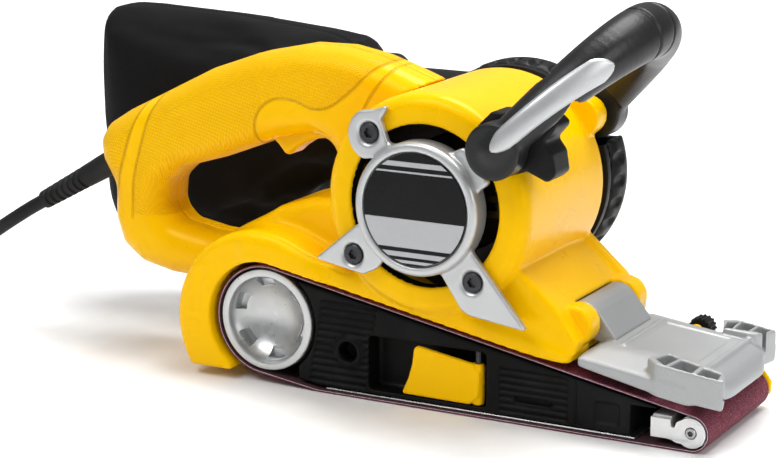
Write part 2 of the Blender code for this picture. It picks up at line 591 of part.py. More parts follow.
def build_hood():
    hood = wedge("front_hood", [(x, s * y, z) for s in (-1, 1) for x, y, z in (
        (47.0, 27.0, 39.6), (52.0, 27.0, 39.6), (93.0, 24.0, 35.0), (40.3, SIDE_Y, 32.0),
        (40.3, SIDE_Y, 36.8), (91.0, SIDE_Y, 29.5), (92.5, SIDE_Y, 21.0), (101.5, 27.0, 29.5),
        (104.5, 20.0, 24.0), (104.0, 20.0, 20.8), (100.0, 32.0, 20.8))], SILVER)
    for s in (-1, 1):
        ear = [(70, 36), (74.5, 22), (103, 29), (105.3, 41.8), (78, 42.2)]
        join(hood, wedge("ear", [(x, s * y, z) for x, y in ear for z in (24.5, 36.0 if x < 80 else 35.2)]
                         + [(80, s * 42.2, 23.6), (104, s * 41.5, 21.2), (102, s * 30, 21.0)]))
    barrel = rod("hood_barrel", HINGE_X, HINGE_Z, HOOD_BARREL_R, HOOD_NEAR_Y, HOOD_FAR_Y, None, 24)
    apron = wedge("apron", [(x, y, z) for y in (HOOD_NEAR_Y, HOOD_FAR_Y) for x, z in (
        (40.2, 51.8), (49.6, 40.0), (46.5, 36.5), (38.5, 38.5), (33.4, 42.4))])
    join(hood, barrel, apron)
    inner = wedge("hood_inside", [(x, s * y, z) for s in (-1, 1) for x, y, z in (
        (49.0, 25.0, 36.6), (92.0, 22.0, 32.0), (30.0, 39.0, 20.0), (30.0, 39.0, 34.4),
        (90.0, 39.0, 26.5), (90.0, 39.0, 10.0), (101.5, 22.0, 21.5), (101.5, 22.0, 10.0))])
    belt_room = plate("hood_belt_room", [belt_loop(BELT_THICKNESS + 1.8)], -38.6, 38.6)
    swing = rod("lobe_room", HINGE_X, HINGE_Z, LOBE_R + 0.5, -60, HOOD_NEAR_Y - 0.02, None, 24)
    swing_far = rod("lobe_room_far", HINGE_X, HINGE_Z, LOBE_R + 0.5, HOOD_FAR_Y + 0.02, 60, None, 24)
    rear_room = box("rear_room", (10, -60, 0), (40.0, -20.02, 60))
    rear_room_far = box("rear_room_far", (10, 21.02, 0), (40.0, 60, 60))
    side_room = plate("side_room", [[(20, 60), (20, 38.0), (40, 38.0), (44.5, 39.2), (51, 39.9),
                                     (51, 60)]], -60, HOOD_NEAR_Y - 0.02)
    side_room_far = plate("side_room_far", [[(20, 60), (20, 38.0), (40, 38.0), (44.5, 39.2),
                                             (51, 39.9), (51, 60)]], HOOD_FAR_Y + 0.02, 60)
    knob_slot = plate("knob_slot", [hull([(64, 30.5, 6.2), (52, 10, 9)], 0, 16)], 34.0, 60)
    pin_bore = rod("hood_bore", HINGE_X, HINGE_Z, HINGE_PIN_R + GAP, -60, 60, None, 14)
    cut(hood, inner, belt_room, swing, swing_far, rear_room, rear_room_far, side_room,
        side_room_far, knob_slot, pin_bore)
    for s in (-1, 1):
        for pocket in ([(76.0, 26.5), (81.5, 29.0), (80.0, 38.5), (74.5, 35.0)],
                       [(84.0, 29.5), (90.0, 31.0), (90.5, 39.0), (82.5, 39.0)],
                       [(92.5, 31.5), (99.5, 33.0), (96.0, 39.0), (93.0, 39.0)]):
            cut(hood, wedge("pocket", [(x, s * y, z) for x, y in pocket for z in (29.5, 50)]))
    smooth(rod("hood_pin", HINGE_X, HINGE_Z, HINGE_PIN_R, LOBE_NEAR_Y + 0.6, LOBE_FAR_Y - 0.7, STEEL, 12))

    knob = [(0, 39.5), (2.0, 39.5), (2.0, 43.0), (5.6, 43.0), (6.0, 44.0), (6.0, 51.0), (5.2, 52.0),
            (0, 52.0)]
    smooth(turned("tracking_knob", knob, (64, 0, 30.5), SOFT_BLACK, steps=16))


# ---------------------------------------------------------------- front handle

def bail_route(count=17):
    """Centre line of the bail from the near pivot to the far one."""
    tilt = math.radians(BAIL_TILT)
    middle, half = (BAIL_NEAR_Y + BAIL_FAR_Y) / 2, (BAIL_FAR_Y - BAIL_NEAR_Y) / 2
    route = []
    for i in range(count):
        turn = -1 + 2 * i / (count - 1)
        reach = BAIL_REACH * math.cos(math.pi / 2 * turn)
        side = math.copysign(abs(math.sin(math.pi / 2 * turn)) ** 1.15, turn)
        route.append((PIVOT_X + reach * math.cos(tilt), middle + half * side,
                      PIVOT_Z + reach * math.sin(tilt)))
    return route


def build_front_handle():
    route = bail_route()
    swell = [BAIL_ARM_R + (BAIL_GRIP_R - BAIL_ARM_R) * math.sin(math.pi * i / (len(route) - 1)) ** 2
             for i in range(len(route))]
    handle = tube("front_handle", route, 1.0, SOFT_BLACK, 2, swell)
    boss_r = 12.5
    near = rod("near_boss", PIVOT_X, PIVOT_Z, boss_r, BAIL_NEAR_Y - 7.0, -49.0, None, 20)
    far = rod("far_boss", PIVOT_X, PIVOT_Z, boss_r, COVER_Y - 2.0, BAIL_FAR_Y + 7.5, None, 20)
    join(handle, near, far)
    clear_near = rod("near_face", PIVOT_X, PIVOT_Z, 40.0, -50.6, -20, None, 32)
    clear_far = rod("far_face", PIVOT_X, PIVOT_Z, 14.0, 30, COVER_Y - 0.3, None, 32)
    bores = [rod("bolt_room", PIVOT_X, PIVOT_Z, 4.3, BAIL_NEAR_Y - 3.0, 80, None, 12),
             rod("near_head_room", PIVOT_X, PIVOT_Z, 7.6, BAIL_NEAR_Y - 6.1, BAIL_NEAR_Y - 2.0, None, 14),
             rod("far_head_room", PIVOT_X, PIVOT_Z, 7.6, BAIL_FAR_Y + 2.5, 80, None, 14)]
    cut(handle, clear_near, clear_far, *bores)
    for name, head, tip in (("handle_bolt_near", BAIL_NEAR_Y - 2.3, -39.0),
                            ("handle_bolt_far", BAIL_FAR_Y + 2.8, 35.0)):
        out = -3.6 if head < 0 else 3.6
        bolt = [(0, tip), (4.0, tip), (4.0, head), (7.2, head), (7.2, head + out), (0, head + out)]
        smooth(turned(name, bolt, (PIVOT_X, 0, PIVOT_Z), DARK_STEEL, steps=12))

    bracket = plate("handle_bracket", [[(-5, 135), (0, 112), (8, 112.5), (20, 116.5), (32, 111.5),
                                        (36.0, 115), (34.0, 126), (29, 131), (37, 139.5), (31, 143),
                                        (16, 142), (2, 142)]], -50.0, -34.0, BLACK)
    cut(bracket, rod("bracket_seat", MOTOR_X, MOTOR_Z, BARREL_R + GAP, BARREL_NEAR - GAP, 0, None, 48),
        rod("bracket_rim", MOTOR_X, MOTOR_Z, 47.0, -60, BARREL_NEAR + 0.5, None, 48),
        rod("bracket_lug", PIVOT_X, PIVOT_Z, 9.0 + GAP, BARREL_NEAR - GAP, -20, None, 20),
        rod("bracket_bolt", PIVOT_X, PIVOT_Z, 4.3, -60, -20, None, 16))


# ---------------------------------------------------------------- D handle

def handle_outline():
    """D handle seen from the side, counter-clockwise, open where it meets the barrel and the guard."""
    barrel = arc(MOTOR_X, MOTOR_Z, BARREL_R + 0.8, 194, 109, 8)
    top = [(-64, 149.3), (-78, 153.5), (-95, 156.5), (-115, 156.2), (-141, 150.5), (-166, 141.5),
           (-196, 126.5), (-214, 117.5), (-226, 110)]
    rear = [(-231, 102), (-229.5, 92), (-222.5, 80), (-223.0, 64), (-218.5, 50.5), (-207, 42), (-190, 38.5),
            (-150, 37.5)]
    opening = [(-150, 60.5), (-168, 61.5), (-186, 64.5), (-193.0, 71), (-191.5, 84), (-183, 92.0),
               (-160, 99), (-142, 106), (-131, 110.5), (-118, 113.5), (-108, 115.0), (-99.5, 111.5),
               (-95.5, 104), (-98, 93), (-101, 80)]
    return barrel + top + rear + opening


def build_d_handle():
    outline = handle_outline()
    for name, side in (("handle_shell_near", -1), ("handle_shell_far", 1)):
        shell = plate(name, [outline], -HANDLE_HALF, HANDLE_HALF, YELLOW)
        round_edges(shell, 10.0, 2, -HANDLE_HALF, HANDLE_HALF)
        cavity = plate("handle_cavity", [inset(outline, HANDLE_WALL)],
                       -HANDLE_CAVITY_HALF, HANDLE_CAVITY_HALF)
        other_half = box("other_half", (-300, min(-side * 80, side * 0.15), 0),
                         (0, max(-side * 80, side * 0.15), 200))
        fender = rod("fender_room", FENDER_X, FENDER_Z, FENDER_R + 0.8, -60, 60, None, 32)
        saddle = plate("saddle_room", [hull(saddle_circles(), 0.5, 12)], -60, 60)
        guard = plate("guard_room", [hull(guard_circles(), 0.5, 12)], -60, 60)
        slot = plate("trigger_slot", [[(-139, 90), (-101.5, 90), (-101.5, 121), (-109, 131),
                                       (-137, 131), (-139, 124)]], -7.6, 7.6)
        boot = bar("boot_hole", (-205, 0, 103.2), (-260, 0, 72.0), 6.6, steps=12)
        cut(shell, cavity, other_half, fender, saddle, guard, slot, boot)
        for x, z in handle_screw_places():
            post = rod("post", x, z, 4.2, min(side * 0.15, side * 13), max(side * 0.15, side * 13), None, 10)
            join(shell, post)
            cut(shell, rod("post_hole", x, z, 1.9, -40 if side > 0 else -9.5, 40, None, 8))
            if side > 0:
                cut(shell, rod("post_head", x, z, 3.6, 13.5, 40, None, 12))
        if side > 0:
            cut(shell, rod("lock_hole", LOCK_X, LOCK_Z, 4.6, 5, 40, None, 14))
    for i, (x, z) in enumerate(handle_screw_places(), 1):
        screw = [(0, -8.5), (1.6, -8.5), (1.6, 13.8), (3.3, 13.8), (3.3, 16.2), (0, 16.2)]
        smooth(turned(f"handle_screw_{i}", screw, (x, 0, z), DARK_STEEL, steps=8))


def handle_screw_places():
    return [(-88.0, 128.0), (-205.5, 62.0)]


def build_controls():
    trigger = [(-136.5, 119), (-135.0, 111.0), (-131.0, 107.8), (-127.2, 103.4), (-124.6, 103.2),
               (-121, 106.5), (-116, 109.8), (-110, 112.3), (-104.5, 113.0), (-102.2, 117), (-103, 124),
               (-108, 127.5), (-130, 127.0), (-135.5, 124.5)]
    paddle = plate("trigger", [trigger], -7.0, 7.0, YELLOW)
    round_edges(paddle, 1.4, 1, -7.0, 7.0)
    box("switch_module", (-134.0, -10.5, 131.5), (-110.0, 10.5, 143.5), BLACK, 1.0)
    button = [(0, 5.5), (6.2, 5.5), (6.2, 7.0), (4.2, 7.0), (4.2, 18.6), (3.4, 19.4), (0, 19.4)]
    smooth(turned("lock_button", button, (LOCK_X, 0, LOCK_Z), SOFT_BLACK, steps=14))


# ---------------------------------------------------------------- dust port and bag

def build_dust_bag():
    port_z, port_y = 118.0, 62.5
    port = turned("dust_port", [(16.5, 0), (19.5, 0), (19.5, 50.0), (16.5, 50.0)],
                  (-116.0, port_y, port_z), BLACK, "X", 20)
    cut(port, plate("port_seat", [hull(drive_circles(), 2.4, 36)], 0, 120))
    collar = [(19.9, 0), (24.6, 0), (25.6, 1.5), (25.6, 11.0), (19.9, 11.0)]
    smooth(turned("bag_collar", collar, (-117.0, port_y, port_z), SOFT_BLACK, "X", 20))
    bag = [(-117.4, 95), (-117.4, 141), (-130, 148.5), (-180, 152), (-240, 156.5), (-262, 158),
           (-268, 152), (-270, 130), (-271, 95), (-269, 62), (-263, 46), (-250, 38.5), (-228, 38),
           (-200, 44), (-165, 60), (-134, 80)]
    bag_near, bag_far = 38.0, 98.0
    pouch = plate("dust_bag", [bag], bag_near, bag_far, FABRIC)
    round_edges(pouch, 14.0, 1, bag_near, bag_far)


# ---------------------------------------------------------------- cord

def cord_route():
    return spline_route([(-273.9, 0, 64.3), (-284, 0, 58.6), (-303, -0.5, 46.5), (-325, -1, 31.0),
                         (-346, -1, 16.5), (-366, 0.5, 6.9), (-386, 2.5, 3.9), (-404.5, 3.5, 3.7)], 24)


def build_cord():
    smooth(bar("strain_relief", (-221.0, 0, 94.1), (-273.6, 0, 64.5), 6.2, RUBBER, 14, 4.7))
    smooth(tube("cord", cord_route(), CORD_R, RUBBER, 2))
    rings = COIL_LAYERS * 2 * CORD_R
    inner, outer = COIL_MID_R - 1.5 * 2 * CORD_R, COIL_MID_R + 1.5 * 2 * CORD_R
    profile = [(inner, 1.0), (inner + 1.0, 0.2), (outer - 1.0, 0.2), (outer, 1.0), (outer, rings - 1.0),
               (outer - 1.0, rings), (inner + 1.0, rings), (inner, rings - 1.0)]
    smooth(turned("cord_coil", profile, (COIL_X, COIL_Y, 0), RUBBER, "Z", 28))
    near, far = COIL_Y - outer, COIL_Y - inner
    tie = box("coil_tie", (COIL_X - 4, near - 1.6, 0.1), (COIL_X + 4, far + 1.9, rings + 1.6), FABRIC)
    cut(tie, box("tie_room", (COIL_X - 9, near - 0.4, -5), (COIL_X + 9, far + 0.7, rings + 0.4)))


def build_plug():
    plug_x, plug_y, plug_z = COIL_X + 36.0, COIL_Y - 46.0, 17.7
    body = [(0, 0), (4.6, 0), (6.5, 16), (12.5, 22), (17.5, 26), (17.5, 44), (16.5, 46), (0, 46)]
    plug = turned("plug", body, (plug_x, plug_y, plug_z), RUBBER, "X", 18)
    for side in (-9.5, 9.5):
        pin = bar("pin", (plug_x + 44, plug_y + side, plug_z), (plug_x + 65, plug_y + side, plug_z),
                  2.4, steps=8)
        join(plug, pin)


build_belt()
build_drive_roller()
build_nose()
build_belt_frame()
build_tension_lever()
build_main_housing()
build_hub()
build_motor()
build_drive()
build_hood()
build_front_handle()
build_d_handle()
build_controls()
build_dust_bag()
build_cord()
build_plug()
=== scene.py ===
"""Looks of the handheld belt sander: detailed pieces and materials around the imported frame.

Helpers take millimetres in the part's frame: +X to the nose, -Y to the open side of the belt, +Z up.
Moulded and cast pieces are distance fields, skinned with surface nets, so their edges and joins are
rounded as a mould leaves them.
"""

import json
import math

import bmesh
import bpy
import numpy as np
from mathutils import Matrix, Vector


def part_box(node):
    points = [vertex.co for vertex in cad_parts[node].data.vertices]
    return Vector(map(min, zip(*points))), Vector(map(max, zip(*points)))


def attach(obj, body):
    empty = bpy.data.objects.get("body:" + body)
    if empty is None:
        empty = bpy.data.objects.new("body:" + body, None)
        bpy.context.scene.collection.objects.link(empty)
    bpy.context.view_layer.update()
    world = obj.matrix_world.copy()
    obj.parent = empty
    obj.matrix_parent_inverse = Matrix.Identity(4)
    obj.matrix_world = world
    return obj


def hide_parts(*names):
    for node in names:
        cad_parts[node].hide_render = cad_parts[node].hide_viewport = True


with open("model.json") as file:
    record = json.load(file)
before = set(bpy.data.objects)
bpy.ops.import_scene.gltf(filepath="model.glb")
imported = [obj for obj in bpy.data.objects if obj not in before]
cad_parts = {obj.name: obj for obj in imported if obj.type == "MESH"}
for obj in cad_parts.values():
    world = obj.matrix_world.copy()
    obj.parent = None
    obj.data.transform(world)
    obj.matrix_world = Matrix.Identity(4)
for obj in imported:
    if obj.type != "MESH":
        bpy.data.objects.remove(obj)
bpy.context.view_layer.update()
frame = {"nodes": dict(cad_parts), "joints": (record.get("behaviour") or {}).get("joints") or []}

MM = 0.001
JOINTS = {joint["name"]: joint for joint in frame["joints"]}


def axis_of(joint):
    """Where a joint's axis stands, as (x, z) in mm."""
    place = JOINTS[joint]["pos_m"]
    return place[0] / MM, place[2] / MM


def on_axis(axis):
    """The point at y 0 of an axis along Y."""
    return axis[0], 0, axis[1]


MOTOR = MOTOR_X, MOTOR_Z = axis_of("motor_spin")
WHEEL = axis_of("drive_roller_spin")
NOSE = axis_of("front_roller_spin")
HINGE = axis_of("hood_flip")
PIVOT = PIVOT_X, PIVOT_Z = axis_of("front_handle_tilt")
KNOB = KNOB_X, KNOB_Z = axis_of("tracking_knob_turn")

WHEEL_R, NOSE_R = 25.1, 7.3                   # to the belt's inner face
HEEL = (-92.0, 3.2, 2.0)                      # where the belt turns onto the flat run
BELT_THICKNESS, BELT_HALF = 1.2, 37.5
BARREL_R, BARREL_NEAR, BARREL_FAR = 50.0, -46.0, 42.0
SIDE_Y = 41.5                                 # half width of the guard
FENDER = (-122.0, 28.0, 45.3)                 # x, z, radius
COVER_NEAR, COVER_FAR = 46.3, 68.0            # the black drive cover on the far side
HOOD_NEAR, HOOD_FAR = -20.0, 21.0
HANDLE_HALF = 17.0
CORD_R = 3.5


# ---- camera and light

def look_from(azimuth, elevation):
    a, e = math.radians(azimuth), math.radians(elevation)
    return Vector((math.sin(a) * math.cos(e), -math.cos(a) * math.cos(e), math.sin(e)))


def put(name, data):
    """A new object in the scene."""
    made = bpy.data.objects.new(name, data)
    bpy.context.scene.collection.objects.link(made)
    return made


def build_camera():
    lens = bpy.data.cameras.new("camera")
    lens.sensor_width = 36.0
    lens.lens = 105.9
    camera = put("camera", lens)
    camera.location = (0.4255, -0.9193, 0.3190)
    camera.rotation_euler = look_from(28.5, 13.3).to_track_quat("Z", "Y").to_euler()
    bpy.context.scene.camera = camera


def area_light(name, place, target, size, power):
    light = bpy.data.lights.new(name, "AREA")
    light.shape = "RECTANGLE"
    light.size, light.size_y = size
    light.energy = power
    lamp = put(name, light)
    lamp.location = place
    lamp.rotation_euler = (Vector(place) - Vector(target)).to_track_quat("Z", "Y").to_euler()
    return lamp


def build_stage():
    bpy.ops.mesh.primitive_plane_add(size=6.0, location=(0, 0, -0.0003))
    floor = bpy.context.active_object
    floor.name = "floor"
    floor.data.materials.append(floor_paper())
    world = bpy.data.worlds.new("studio")
    world.use_nodes = True
    world.node_tree.nodes["Background"].inputs["Color"].default_value = (1, 1, 1, 1)
    world.node_tree.nodes["Background"].inputs["Strength"].default_value = 0.30
    bpy.context.scene.world = world
    area_light("key_light", (-0.5, -0.9, 1.3), (-0.05, 0, 0.06), (0.9, 0.6), 10)
    area_light("top_light", (0.1, 0.25, 1.3), (-0.05, 0, 0.06), (1.1, 0.5), 19)
    back = area_light("back_light", (-0.9, 2.0, 1.3), (-0.9, 2.0, 0), (3.0, 2.0), 50)
    back.visible_glossy = False
    area_light("nose_light", (1.1, -0.35, 0.6), (0, 0, 0.05), (0.5, 0.7), 4)
    bpy.context.scene.view_settings.view_transform = "Standard"


# ---- materials

class Nodes:
    """Short calls for making a material's nodes."""

    def __init__(self, name):
        self.material = bpy.data.materials.new(name)
        self.material.use_nodes = True
        self.tree = self.material.node_tree
        self.shader = self.tree.nodes["Principled BSDF"]

    def add(self, kind, **settings):
        node = self.tree.nodes.new(kind)
        for key, value in settings.items():
            if key in node.inputs:
                node.inputs[key].default_value = value
            else:
                setattr(node, key, value)
        return node

    def link(self, source, target):
        self.tree.links.new(source, target)

    def placed(self, kind, **settings):
        """A node that reads the object's coordinates."""
        node = self.add(kind, **settings)
        self.link(self.add("ShaderNodeTexCoord").outputs["Object"], node.inputs["Vector"])
        return node

    def noise(self, scale, detail=2.0, stretch=None):
        if not stretch:
            return self.placed("ShaderNodeTexNoise", Scale=scale, Detail=detail).outputs["Fac"]
        noise = self.add("ShaderNodeTexNoise", Scale=scale, Detail=detail)
        self.link(self.placed("ShaderNodeMapping", Scale=stretch).outputs["Vector"], noise.inputs["Vector"])
        return noise.outputs["Fac"]

    def patches(self, scale, detail, to_low=0.0, to_high=1.0, low=0.3, high=0.7):
        """Noise with its middle range, from low to high, spread over to_low to to_high."""
        return self.spread(self.noise(scale, detail), low, high, to_low, to_high)

    def math(self, operation, a, b=0.0, clamp=False):
        node = self.add("ShaderNodeMath", operation=operation, use_clamp=clamp)
        for socket, value in zip(node.inputs, (a, b)):
            if isinstance(value, (int, float)):
                socket.default_value = value
            else:
                self.link(value, socket)
        return node.outputs[0]

    def times(self, a, b):
        return self.math("MULTIPLY", a, b)

    def plus(self, a, b):
        return self.math("ADD", a, b)

    def spread(self, value, low, high, to_low, to_high):
        node = self.add("ShaderNodeMapRange")
        self.link(value, node.inputs["Value"])
        for name, number in zip(("From Min", "From Max", "To Min", "To Max"), (low, high, to_low, to_high)):
            node.inputs[name].default_value = number
        return node.outputs["Result"]

    def mix(self, share, first, second):
        node = self.add("ShaderNodeMix", data_type="RGBA")
        self.link(share, node.inputs["Factor"])
        for socket, colour in ((node.inputs[6], first), (node.inputs[7], second)):
            if isinstance(colour, tuple):
                socket.default_value = (*colour, 1)
            else:
                self.link(colour, socket)
        return node.outputs[2]

    def attribute(self, name):
        return self.add("ShaderNodeAttribute", attribute_name=name).outputs["Fac"]

    def bump(self, height, distance, strength=1.0):
        node = self.add("ShaderNodeBump", Strength=strength, Distance=distance)
        self.link(height, node.inputs["Height"])
        self.link(node.outputs["Normal"], self.shader.inputs["Normal"])

    def colour(self, source):
        self.link(source, self.shader.inputs["Base Color"])

    def roughness(self, source):
        self.link(source, self.shader.inputs["Roughness"])

    def finish(self, colour, roughness, height, distance, strength):
        """Links the surface's colour, roughness and bump, and gives the material."""
        self.colour(colour)
        self.roughness(roughness)
        self.bump(height, distance, strength)
        return self.material

    def set(self, **values):
        for key, value in values.items():
            self.shader.inputs[key.replace("_", " ")].default_value = value


def floor_paper():
    """A nearly even pale paper with slight mottling."""
    n = Nodes("floor_paper")
    grain = n.noise(60)
    n.colour(n.mix(grain, (0.837, 0.837, 0.837), (0.93, 0.93, 0.93)))
    n.roughness(n.spread(grain, 0.3, 0.7, 0.85, 0.95))
    return n.material


def yellow(name, grip=False):
    """Glossy ABS. A grip has a knurled grain where its grip attribute is above zero, its low spots darkened
    as painted shade, and moulded grooves darkened with painted shade.
    """
    n = Nodes(name)
    n.set(Coat_Weight=0.04, Coat_Roughness=0.12, Specular_IOR_Level=0.3)
    n.shader.inputs["Specular Tint"].default_value = (1.0, 0.72, 0.10, 1)
    base = n.mix(n.patches(18, 3, low=0.35, high=0.65), (0.92, 0.50, 0.0), (0.96, 0.55, 0.0))
    fine = n.patches(900, 2)
    height = n.times(fine, 0.02)
    rough = n.patches(45, 3, 0.24, 0.34)
    if grip:
        split = n.placed("ShaderNodeSeparateXYZ")
        rows = []
        for lean in (0.45, -1.5):
            slant = n.plus(split.outputs["X"], n.times(split.outputs["Z"], lean))
            slant = n.plus(slant, n.times(split.outputs["Y"], 2.0 * lean))
            rows.append(n.math("SINE", n.times(slant, 2600.0 if lean > 0 else 1700.0)))
        pebble = n.spread(n.times(rows[0], rows[1]), -0.7, 0.7, 0, 1.1)
        zone = n.spread(n.attribute("grip"), -0.15, 0.15, 0, 1)
        height = n.plus(height, n.times(pebble, zone))
        rough = n.plus(rough, n.times(zone, 0.1))
        # Painted shade: the grain's low spots are darker.
        shade = n.times(zone, n.spread(pebble, 0, 1, 0.45, 0.0))
        base = n.mix(shade, base, (0.80, 0.38, 0.0))
        line = n.spread(n.attribute("line"), 0.3, 0.95, 1, 0)
        height = n.math("SUBTRACT", height, n.times(line, 1.6))
        # Painted shade: the grooves are darkened in colour.
        base = n.mix(n.times(line, 0.55), base, (0.50, 0.21, 0.0))
    return n.finish(base, rough, height, 0.0003, 0.9)


def silver_paint(name, level, metallic, roughness):
    """Painted casting with a fine metal flake."""
    n = Nodes(name)
    n.set(Metallic=metallic, Coat_Weight=0.1, Coat_Roughness=0.3)
    flake = n.noise(2600, 1)
    dark, bright = (tuple(c * level for c in tint) for tint in ((0.77, 0.79, 0.80), (1, 1.02, 1.03)))
    rough = n.patches(70, 3, roughness - 0.05, roughness + 0.05)
    return n.finish(n.mix(flake, dark, bright), rough, flake, 0.00004, 0.5)


def turned_metal(name, colour, roughness, metallic=1.0):
    n = Nodes(name)
    n.set(Metallic=metallic)
    streak = n.noise(260, 2, (1, 0.2, 1))
    colour = n.mix(streak, tuple(c * 0.86 for c in colour), colour)
    rough = n.spread(streak, 0.3, 0.7, roughness - 0.07, roughness + 0.08)
    return n.finish(colour, rough, streak, 0.00003, 0.4)


def black_plastic(name, level, roughness, grain_scale, depth, wear=0.006, gloss=0.1):
    """Moulded black plastic or paint, with a fine grain and slightly paler scuffs."""
    n = Nodes(name)
    n.set(Specular_IOR_Level=gloss)
    scuff = n.patches(24, 5, low=0.52, high=0.72)
    colour = n.mix(scuff, (level, level, level * 1.04), (level + wear, level + wear, level + wear * 1.05))
    rough = n.patches(60, 3, roughness - 0.06, roughness + 0.08)
    grain = n.placed("ShaderNodeTexVoronoi", Scale=float(grain_scale), feature="SMOOTH_F1")
    height = n.spread(grain.outputs["Distance"], 0.1, 0.7, 1, 0)
    return n.finish(colour, rough, height, depth, 0.6)


def abrasive():
    """Aluminium oxide grit in maroon resin, with pale specks as painted glints."""
    n = Nodes("abrasive_grit")
    n.set(Specular_IOR_Level=0.35)
    grit = n.placed("ShaderNodeTexVoronoi", Scale=1700.0)
    tone = n.noise(1100, 3)
    dark = n.mix(n.spread(tone, 0.3, 0.7, 0, 1), (0.075, 0.009, 0.018), (0.23, 0.034, 0.062))
    # The pale specks are painted glints on the grit.
    colour = n.mix(n.patches(3200, 0, low=0.66, high=0.74), dark, (0.50, 0.22, 0.29))
    height = n.spread(grit.outputs["Distance"], 0, 0.6, 1, 0)
    return n.finish(colour, n.spread(tone, 0.3, 0.7, 0.75, 0.95), height, 0.00035, 0.9)


BAG_SEAM_Y = 68.0                             # the bag's two halves are sewn together here


def cloth_weave(name, level):
    """Coated black cloth: a fine twill with soft sheen."""
    n = Nodes(name)
    n.set(Sheen_Weight=0.04, Sheen_Roughness=0.5, Specular_IOR_Level=0.1)
    n.shader.inputs["Sheen Tint"].default_value = (0.5, 0.5, 0.55, 1)
    waves = [n.placed("ShaderNodeTexWave", Scale=330.0, Distortion=0.6, bands_direction=axis).outputs["Fac"]
             for axis in ("X", "Z")]
    weave = n.times(*waves)
    split = n.placed("ShaderNodeSeparateXYZ")
    off_seam = n.math("ABSOLUTE", n.math("SUBTRACT", split.outputs["Y"], BAG_SEAM_Y * MM))
    welt = n.spread(off_seam, 0.0012, 0.0022, 1, 0)
    stitch = n.spread(n.math("SINE", n.times(split.outputs["X"], 2200.0)), 0.2, 0.6, 0, 1)
    off_stitches = n.math("ABSOLUTE", n.math("SUBTRACT", off_seam, 0.0032))
    thread = n.times(stitch, n.spread(off_stitches, 0.0003, 0.0006, 1, 0))
    weave = n.math("SUBTRACT", n.plus(weave, n.times(welt, 5.0)), n.times(thread, 3.0))
    dust = n.patches(14, 5, low=0.5, high=0.75)
    colour = n.mix(dust, (level, level, level * 1.1), (level * 1.9, level * 1.9, level * 1.95))
    return n.finish(colour, n.spread(weave, 0, 1, 0.72, 0.9), weave, 0.00012, 0.5)


def speckled(name, first, second, scale, roughness, metallic=0.0):
    n = Nodes(name)
    n.set(Metallic=metallic)
    fleck = n.patches(scale, 4, low=0.4, high=0.6)
    rough = n.spread(fleck, 0, 1, roughness - 0.08, roughness + 0.08)
    return n.finish(n.mix(fleck, first, second), rough, fleck, 0.0001, 0.4)


# ---- outlines in the XZ plane, in mm

def round_point(cx, cz, radius, turn):
    return cx + radius * math.cos(turn), cz + radius * math.sin(turn)


def arc(cx, cz, radius, start, end, count):
    return [round_point(cx, cz, radius, math.radians(start + (end - start) * i / (count - 1)))
            for i in range(count)]


def circle(cx, cz, radius, count=64):
    return arc(cx, cz, radius, 0, 360 - 360 / count, count)


def lobed(cx, cz, radius, swing, lobes, count):
    """A circle whose radius swings in and out, once for each lobe."""
    turns = [2 * math.pi * k / count for k in range(count)]
    return [round_point(cx, cz, radius + swing * math.cos(lobes * turn), turn) for turn in turns]


def hull(circles, offset=0.0, count=96):
    """Convex outline around circles (x, z, radius), each grown by offset."""
    points = sorted({(round(x, 4), round(z, 4)) for cx, cz, r in circles
                     for x, z in circle(cx, cz, r + offset, count)})

    def half(run):
        kept = []
        for p in run:
            while len(kept) > 1:
                (ax, az), (bx, bz) = kept[-2:]
                if (bx - ax) * (p[1] - az) - (bz - az) * (p[0] - ax) > 1e-6:
                    break
                kept.pop()
            kept.append(p)
        return kept[:-1]

    return half(points) + half(points[::-1])


def fillet(points, radius, count=6):
    """The outline with its corners rounded, each by as much as its edges leave room for."""
    rounded = []
    for i, point in enumerate(points):
        here = Vector(point)
        back, ahead = Vector(points[i - 1]) - here, Vector(points[(i + 1) % len(points)]) - here
        half_angle = back.angle(ahead) / 2
        if half_angle > 1.5:
            rounded.append(tuple(here))
            continue
        reach = min(radius / math.tan(half_angle), back.length * 0.48, ahead.length * 0.48)
        start, end = here + back.normalized() * reach, here + ahead.normalized() * reach
        for k in range(count):
            t = k / (count - 1)
            rounded.append(tuple(start * (1 - t) ** 2 + here * 2 * t * (1 - t) + end * t * t))
    return rounded


def belt_loop(offset):
    """The belt's path, offset outwards from the belt's inner face."""
    return hull([(*WHEEL, WHEEL_R), (*NOSE, NOSE_R), HEEL], offset, 120)


# ---- distance fields

def polygon_distance(x, z, points):
    """Signed distance from (x, z) to a closed outline, negative inside."""
    closed = points + points[:1]
    inside = np.zeros(np.broadcast(x, z).shape, bool)
    for (ax, az), (bx, bz) in zip(closed, closed[1:]):
        if abs(bz - az) > 1e-12:
            inside ^= ((az > z) != (bz > z)) & (x < ax + (z - az) * (bx - ax) / (bz - az))
    return np.where(inside, -1, 1) * line_distance(x, z, closed)


def line_distance(x, z, line):
    """Distance from (x, z) to an open line of points."""
    nearest = np.full(np.broadcast(x, z).shape, 1e9)
    for (ax, az), (bx, bz) in zip(line, line[1:]):
        ex, ez = bx - ax, bz - az
        length = ex * ex + ez * ez
        if length > 1e-12:
            t = np.clip(((x - ax) * ex + (z - az) * ez) / length, 0, 1)
            nearest = np.minimum(nearest, (x - ax - t * ex) ** 2 + (z - az - t * ez) ** 2)
    return np.sqrt(nearest)


def soft_min(a, b, k):
    if k <= 0:
        return np.minimum(a, b)
    h = np.clip(0.5 + 0.5 * (b - a) / k, 0, 1)
    return b + (a - b) * h - k * h * (1 - h)


